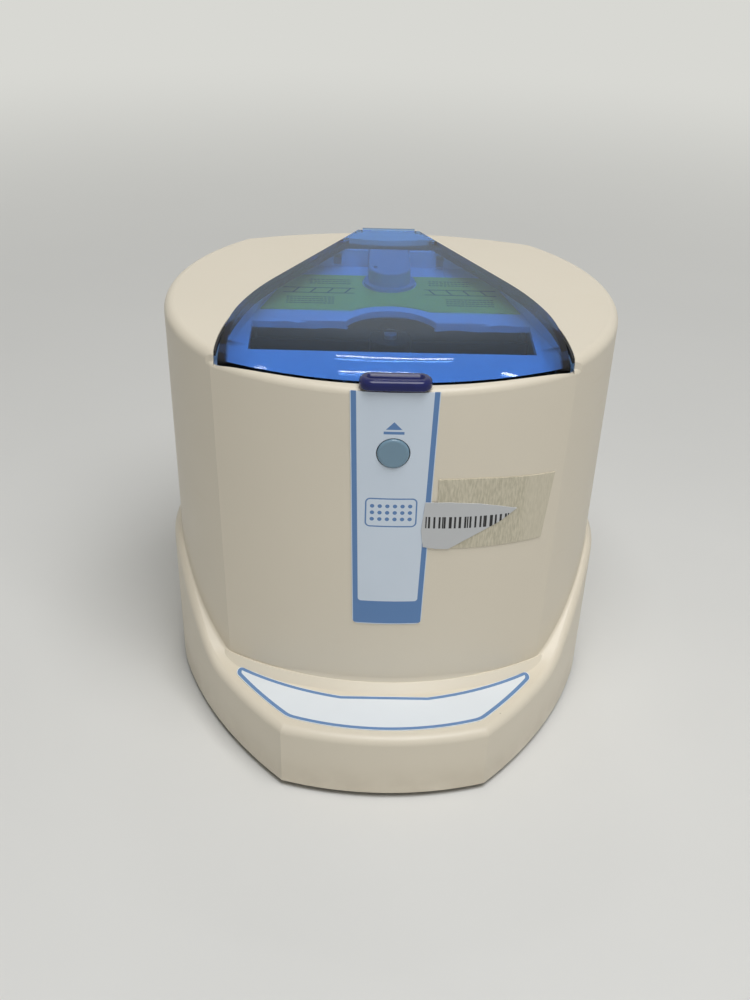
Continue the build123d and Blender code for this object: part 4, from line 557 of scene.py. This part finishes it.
def lid_blue():
    """Clear blue, with painted shade: near-black on the side edges and on the low band under the sides, but
    not the bowed front.
    """
    body = paint(136, 184, 242)
    finish = Finish("lid_blue", body, 0.03, Transmission_Weight=1.0, IOR=1.3)
    x, y, z = finish.axes()
    across, along, up = finish.split(finish.node("ShaderNodeTexCoord", {}, {}, "Normal"))
    at_sides = y.above(SKIRT_FRONT_Y, 3).most(abs(x).above(SKIRT_CORNER_X, 1))
    skirt_shade = (SKIRT_TOP_Z - z).above(0, 0.2) * at_sides
    edge = abs(across).above(0.3, 0.1).most(skirt_shade)
    not_front = (along + 0.55).above(0, 0.08)
    # Painted shade: the side edges and the skirt under the sides turn near-black navy, except on the bowed
    # front.
    tone = finish.tint(edge * not_front, body, paint(10, 14, 36))
    haze = finish.noise(34, 4)
    return finish.wear(tone, 0.02 + haze.above(0.62, 0.08) * 0.05, finish.noise(60, 1), 0.03)


dress(lid_blue(), "lid")
dress(black_rubber, "lid_gasket")

# ---------------------------------------------------------------- finger tab
# A navy pill with a round edge and a shallow finger groove is welded to the middle of the lid's
# front. It is wider than it is deep, and its top stands just under the top of the lid.

# Metres, as bmesh takes them.
TAB_SIZE = (0.0306, 0.011, 0.0048)
TAB_PLACE = (0, -0.078097, 0.1936)
TAB_END_R = 0.0053
TAB_TOP_R = 0.0021
TAB_LOW_R = 0.0012
TAB_RIM = 0.0010
GROOVE_STEPS = ((0.0006, -0.0007), (0.0004, -0.0006))


def navy_plastic():
    """Deep navy with a soft haze in its gloss."""
    colour = paint(14, 22, 88)
    finish = Finish("navy_tab", colour, 0.12, Specular_IOR_Level=0.35)
    haze = finish.noise(6, 3)
    tone = finish.tint(haze, shade(colour, 0.8), shade(colour, 1.2))
    return finish.wear(tone, 0.1 + haze * 0.1, haze, 0.02)


def round_off(shape, edges, radius, segments):
    bmesh.ops.bevel(
        shape, geom=edges, offset=radius, affect="EDGES", segments=segments, profile=0.5, material=-1,
    )


def finger_tab():
    """A block with round ends and round edges, and a groove stepped down into its top."""
    shape = bmesh.new()
    bmesh.ops.create_cube(shape, size=1.0)
    bmesh.ops.scale(shape, verts=shape.verts, vec=TAB_SIZE)
    upright = [e for e in shape.edges if abs(e.verts[0].co.z - e.verts[1].co.z) > TAB_SIZE[2] / 2]
    round_off(shape, upright, TAB_END_R, 12)
    top = max(shape.faces, key=lambda f: f.calc_center_median().z)
    low = min(shape.faces, key=lambda f: f.calc_center_median().z)
    round_off(shape, list(top.edges), TAB_TOP_R, 6)
    round_off(shape, list(low.edges), TAB_LOW_R, 4)
    top = max(shape.faces, key=lambda f: f.calc_center_median().z + f.calc_area())
    bmesh.ops.inset_region(shape, faces=[top], thickness=TAB_RIM, use_even_offset=True)
    for inward, down in GROOVE_STEPS:
        bmesh.ops.inset_region(shape, faces=[top], thickness=inward, depth=down, use_even_offset=True)
    bmesh.ops.translate(shape, verts=shape.verts, vec=TAB_PLACE)
    return settle("finger_tab", shape, navy_plastic())


tab = finger_tab()
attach(tab, "lid")
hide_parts("lid_handle")

# ---------------------------------------------------------------- front panel
# A polycarbonate film with a satin face, printed from behind: pale field, blue edge and a wide
# blue foot. Above the button it has the open sign, and below it a small plate with its wells.

PANEL_LOW_Z = 72.0
PANEL_LOW_HALF = 15.6
PANEL_SPREAD = 3.4 / 118.0
PANEL_EDGE_W = 2.6
FOOT_TOP_Z = 84.6
FIELD_CORNER_R = 1.4
OPEN_SIGN_Z = 171.6
PLATE_SIGN_Z = 131.5
WELL_PITCH = 3.3
WELL_R = 0.95
WELLS_ACROSS = 6
WELLS_UP = 3


def open_sign(side, z):
    """A triangle over a bar."""
    rise = z - OPEN_SIGN_Z
    triangle = (1 - (side * 1.05 + rise).above(4.6, 0.08)) * rise.above(0.9, 0.08)
    bar = (1 - side.above(4.4, 0.08)) * rise.within(-1.3, 0.0, 0.08)
    return triangle.most(bar)


def plate_sign(x, side, z):
    """A frame with round corners and a grid of wells in it."""
    beyond_x = (side - 9.0).most(0)
    beyond_z = (abs(z - PLATE_SIGN_Z) - 5.0).most(0)
    outline = (beyond_x * beyond_x + beyond_z * beyond_z).root().within(1.7, 2.35, 0.08)
    half_x = WELLS_ACROSS * WELL_PITCH / 2
    low_z = PLATE_SIGN_Z - WELLS_UP * WELL_PITCH / 2
    high_z = PLATE_SIGN_Z + WELLS_UP * WELL_PITCH / 2
    well_x = (x + half_x).repeat(WELL_PITCH) - WELL_PITCH / 2
    well_z = (z - low_z).repeat(WELL_PITCH) - WELL_PITCH / 2
    wells = 1 - (well_x * well_x + well_z * well_z).root().above(WELL_R, 0.08)
    grid = (1 - side.above(half_x, 0.02)) * z.within(low_z, high_z, 0.02)
    return outline.most(wells * grid)


def front_film():
    field = paint(212, 224, 238)
    finish = Finish("front_film", field, 0.35)
    x, y, z = finish.axes()
    side = abs(x)
    half = PANEL_LOW_HALF + (z - PANEL_LOW_Z) * PANEL_SPREAD
    beyond = side - half + PANEL_EDGE_W
    corner_x = (beyond + FIELD_CORNER_R).most(0)
    corner_z = (FOOT_TOP_Z + FIELD_CORNER_R - z).most(0)
    rounded = (corner_x * corner_x + corner_z * corner_z).root().above(FIELD_CORNER_R, 0.08)
    border = beyond.above(0, 0.08).most(1 - z.above(FOOT_TOP_Z, 0.08)).most(rounded)
    inside_rim = (half - side).above(0.35, 0.06) * z.above(PANEL_LOW_Z + 0.4, 0.06)
    printed = (border * inside_rim).most(open_sign(side, z)).most(plate_sign(x, side, z))
    flow = finish.noise(26, 3)
    tone = finish.tint(flow, shade(field, 0.96), shade(field, 1.03))
    tone = finish.tint(printed, tone, paint(92, 132, 184))
    return finish.wear(tone, 0.3 + flow * 0.12, finish.noise(0.4, 2), 0.008)


dress(front_film(), "front_panel")

# ---------------------------------------------------------------- base label
# The same film, cut as a crescent for the flat of the chin, with a blue line just inside its edge.
# Its tips reach back to where the ramps begin.

# The corners on the right and the bulges of the arcs, in millimetres about the rim's middle.
LABEL_FRONT = (44.5, -114.0)
LABEL_TIP_FRONT = (70.2, -80.4)
LABEL_TIP_BACK = (68.0, -75.4)
LABEL_BACK = (20.0, -97.5)
LABEL_FRONT_SAG = 8.8
LABEL_SIDE_SAG = 1.0
LABEL_BACK_SAG = 2.7

# In metres: rounding of the corners, edge outside the line, line, thickness, and strips across.
LABEL_CORNER_R = 0.0026
LABEL_RIM = 0.0003
LABEL_LINE = 0.0019
LABEL_T = 0.00038
LABEL_STRIP = 0.005
LABEL_STRIPS = 13


def base_film():
    """Pale blue-white film with a satin face."""
    field = paint(232, 238, 244)
    finish = Finish("base_film", field, 0.35)
    flow = finish.noise(26, 3)
    tone = finish.tint(flow, shade(field, 0.96), shade(field, 1.03))
    return finish.wear(tone, 0.3 + flow * 0.12, finish.noise(0.4, 2), 0.008)


def blue_ink():
    """The film's printed line."""
    ink = paint(104, 142, 190)
    finish = Finish("blue_ink", ink, 0.35)
    flow = finish.noise(9, 3)
    return finish.wear(finish.tint(flow, shade(ink, 0.92), shade(ink, 1.05)), 0.3 + flow * 0.12)


def arc_points(start, end, sag, steps):
    """Points from start up to but without end, on an arc that bulges to the right by sag."""
    start, end = Vector(start), Vector(end)
    chord = end - start
    along = chord.normalized()
    right = Vector((chord.y, -chord.x)).normalized()
    half = chord.length / 2
    radius = (half * half + sag * sag) / (2 * sag)
    centre = (start + end) / 2 + right * (sag - radius)
    points = []
    for i in range(steps):
        angle = math.asin(half / radius) * (2 * i / steps - 1)
        points.append(centre + radius * (right * math.cos(angle) + along * math.sin(angle)))
    return points


def crescent_outline():
    """The front, then the right side round its tip to the back, then the right side's mirror."""
    left_front = (-LABEL_FRONT[0], LABEL_FRONT[1])
    front = arc_points(left_front, LABEL_FRONT, LABEL_FRONT_SAG, 24)
    right = arc_points(LABEL_FRONT, LABEL_TIP_FRONT, LABEL_SIDE_SAG, 12)
    right += [Vector(LABEL_TIP_FRONT), Vector(LABEL_TIP_BACK)]
    right += arc_points(LABEL_BACK, LABEL_TIP_BACK, LABEL_BACK_SAG, 12)[:0:-1]
    right += [Vector(LABEL_BACK)]
    return front + right + [Vector((-point.x, point.y)) for point in right[:0:-1]]


def crescent():
    """The label with round corners and its line, cut across in strips so that it can bend."""
    shape = bmesh.new()
    corners = [shape.verts.new((p.x / 1000, (p.y + MIDDLE_Y) / 1000, 0)) for p in crescent_outline()]
    shape.faces.new(corners)
    sharp_x = [round(corner[0] / 1000, 4) for corner in (LABEL_FRONT, LABEL_TIP_FRONT, LABEL_TIP_BACK)]
    sharp = [v for v in corners if round(abs(v.co.x), 4) in sharp_x]
    bmesh.ops.bevel(
        shape, geom=sharp, offset=LABEL_CORNER_R, affect="VERTICES", segments=6, profile=0.5, material=-1,
    )
    face = max(shape.faces, key=lambda f: f.calc_area())
    bmesh.ops.inset_region(
        shape, faces=[face], thickness=LABEL_RIM, use_even_offset=True, use_boundary=True,
    )
    line = bmesh.ops.inset_region(shape, faces=[face], thickness=LABEL_LINE, use_even_offset=True)
    for strip in line["faces"]:
        strip.material_index = 1
    for i in range(-LABEL_STRIPS, LABEL_STRIPS + 1):
        everything = list(shape.verts) + list(shape.edges) + list(shape.faces)
        cut = (i * LABEL_STRIP, 0, 0)
        bmesh.ops.bisect_plane(shape, geom=everything, plane_co=cut, plane_no=(1, 0, 0))
    raised = bmesh.ops.extrude_face_region(shape, geom=list(shape.faces))
    top = [v for v in raised["geom"] if isinstance(v, bmesh.types.BMVert)]
    bmesh.ops.translate(shape, verts=top, vec=(0, 0, LABEL_T))
    for point in shape.verts:
        point.co.z += (base_top(point.co.y * 1000 - MIDDLE_Y) + 0.02) / 1000
    bmesh.ops.recalc_face_normals(shape, faces=shape.faces)
    return settle("crescent_label", shape, base_film(), blue_ink(), smooth=False)


label = crescent()
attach(label, "case")
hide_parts("base_label")

# ---------------------------------------------------------------- asset label and tape
# A strip of creped paper tape holds a printed paper label that was cut off with scissors. Both
# follow the bow of the housing's front.


def paper_label():
    """Grey-white paper with a row of plain black bars that rises a little to the right."""
    paper = paint(196, 198, 200)
    finish = Finish("paper_label", paper, 0.5)
    x, y, z = finish.axes()
    row = (z + x * 0.083).within(124.9, 130.8, 0.1) * x.within(15.0, 53.0, 0.1)
    bars = x.repeat(2.3).within(0.3, 1.2, 0.06).most(x.repeat(3.7).within(0.4, 1.0, 0.06))
    tone = finish.tint(row * bars, paper, paint(24, 24, 26))
    return finish.wear(tone, 0.45 + finish.noise(6, 2) * 0.2, finish.noise(0.6, 3), 0.02)


def crepe_tape():
    """Creped paper: fine upright creases, blotched where the glue shows through, paler at one end."""
    finish = Finish("crepe_tape", paint(205, 198, 176), 0.6)
    x, y, z = finish.axes()
    crepe = finish.noise(0.7, 4, (1, 1, 5))
    glue = finish.noise(3, 3)
    tone = finish.tint(crepe.above(0.5, 0.2) * 0.6 + glue * 0.3, paint(216, 208, 187), paint(176, 170, 148))
    tone = finish.tint(x.above(60, 2) * 0.6, tone, paint(214, 206, 186))
    return finish.wear(tone, 0.55 + crepe * 0.2, crepe, 0.1)


dress(paper_label(), "asset_label")
dress(crepe_tape(), "masking_tape")

# ---------------------------------------------------------------- studio
# A plain pale floor, a large soft lamp high in front, small lamps behind that draw short streaks on
# the lid, and the camera where the photograph was taken from.


def seen_rays(nodes):
    """1 for what the eye sees, by itself, in gloss or through clear parts, and 0 for light on surfaces."""
    seen = nodes.node("ShaderNodeLightPath", {}, {}, "Is Camera Ray")
    for kind in ("Is Glossy Ray", "Is Transmission Ray"):
        seen = seen.most(nodes.node("ShaderNodeLightPath", {}, {}, kind))
    return seen


def floor_skin():
    """Pale floor that is lit close to the machine, and seen at one even level far from it."""
    finish = Finish("floor_paint", paint(226, 226, 224), 0.6)
    cloud = finish.noise(180, 3)
    tone = finish.tint(cloud, paint(222, 222, 220), paint(230, 230, 228))
    finish.wear(tone, 0.55 + cloud * 0.1)
    x, y, z = finish.axes()
    far = (x * x + y * y).root().above(900, 450)
    glow = finish.node("ShaderNodeEmission", {}, {"Color": paint(216, 216, 211), "Strength": 1.0})
    lit = Value(finish, finish.shader.outputs["BSDF"])
    mixed = finish.node("ShaderNodeMixShader", {}, {0: far * seen_rays(finish), 1: lit, 2: glow})
    finish.join(mixed, finish.tree.nodes["Material Output"].inputs["Surface"])
    return finish.skin


def make_floor():
    shape = bmesh.new()
    bmesh.ops.create_grid(shape, x_segments=2, y_segments=2, size=8.0)
    bmesh.ops.translate(shape, verts=shape.verts, vec=(0, 0, -0.0002))
    floor = settle("floor", shape, floor_skin(), smooth=False)


def make_lamp(name, power, size, place, aim):
    light = bpy.data.lights.new(name, "AREA")
    light.shape = "RECTANGLE"
    light.size, light.size_y = size
    light.energy = power
    lamp = bpy.data.objects.new(name, light)
    lamp.location = place
    lamp.rotation_euler = (Vector(aim) - Vector(place)).to_track_quat("-Z", "Y").to_euler()
    bpy.context.scene.collection.objects.link(lamp)


def make_camera(place, yaw, pitch, roll):
    """Camera in degrees: yaw to the left, pitch down, roll against the clock."""
    yaw, pitch, roll = (math.radians(v) for v in (yaw, pitch, roll))
    level = Vector((math.cos(yaw), math.sin(yaw), 0))
    ahead = Vector((-math.sin(yaw), math.cos(yaw), 0))
    look = ahead * math.cos(pitch) - Vector((0, 0, math.sin(pitch)))
    down = -(ahead * math.sin(pitch) + Vector((0, 0, math.cos(pitch))))
    right = level * math.cos(roll) + down * math.sin(roll)
    down = down * math.cos(roll) - level * math.sin(roll)
    lens = bpy.data.cameras.new("camera")
    lens.lens = 54.0
    lens.sensor_width = 36.0
    camera = bpy.data.objects.new("camera", lens)
    turn = Matrix((right, -down, -look)).transposed()
    camera.matrix_world = Matrix.Translation(place) @ turn.to_4x4()
    bpy.context.scene.collection.objects.link(camera)
    bpy.context.scene.camera = camera


def make_room():
    """The room is seen brighter than it lights."""
    world = bpy.data.worlds.new("room")
    bpy.context.scene.world = world
    world.use_nodes = True
    room = Nodes(world.node_tree)
    sky = room.tree.nodes["Background"]
    sky.inputs["Color"].default_value = paint(228, 228, 222)
    room.join(0.2 + seen_rays(room) * 0.8, sky.inputs["Strength"])


LID_MIDDLE = (0, 0, 0.19)
make_floor()
make_lamp("key_lamp", 31.0, (1.2, 1.2), (0.25, -0.75, 1.9), (0, 0, 0.1))
make_lamp("near_strip", 0.5, (0.26, 0.02), (0.0, 0.9, 1.6), LID_MIDDLE)
make_lamp("far_strip", 0.5, (0.34, 0.02), (0.06, 1.2, 1.5), LID_MIDDLE)
make_lamp("left_spot", 0.1, (0.07, 0.02), (-0.42, 0.9, 1.6), LID_MIDDLE)
make_lamp("right_spot", 0.1, (0.06, 0.02), (0.45, 0.9, 1.6), LID_MIDDLE)
make_camera((-0.02116, -0.644477, 0.453762), -1.426, 29.191, -1.813)
make_room()
bpy.context.scene.view_settings.view_transform = "Standard"
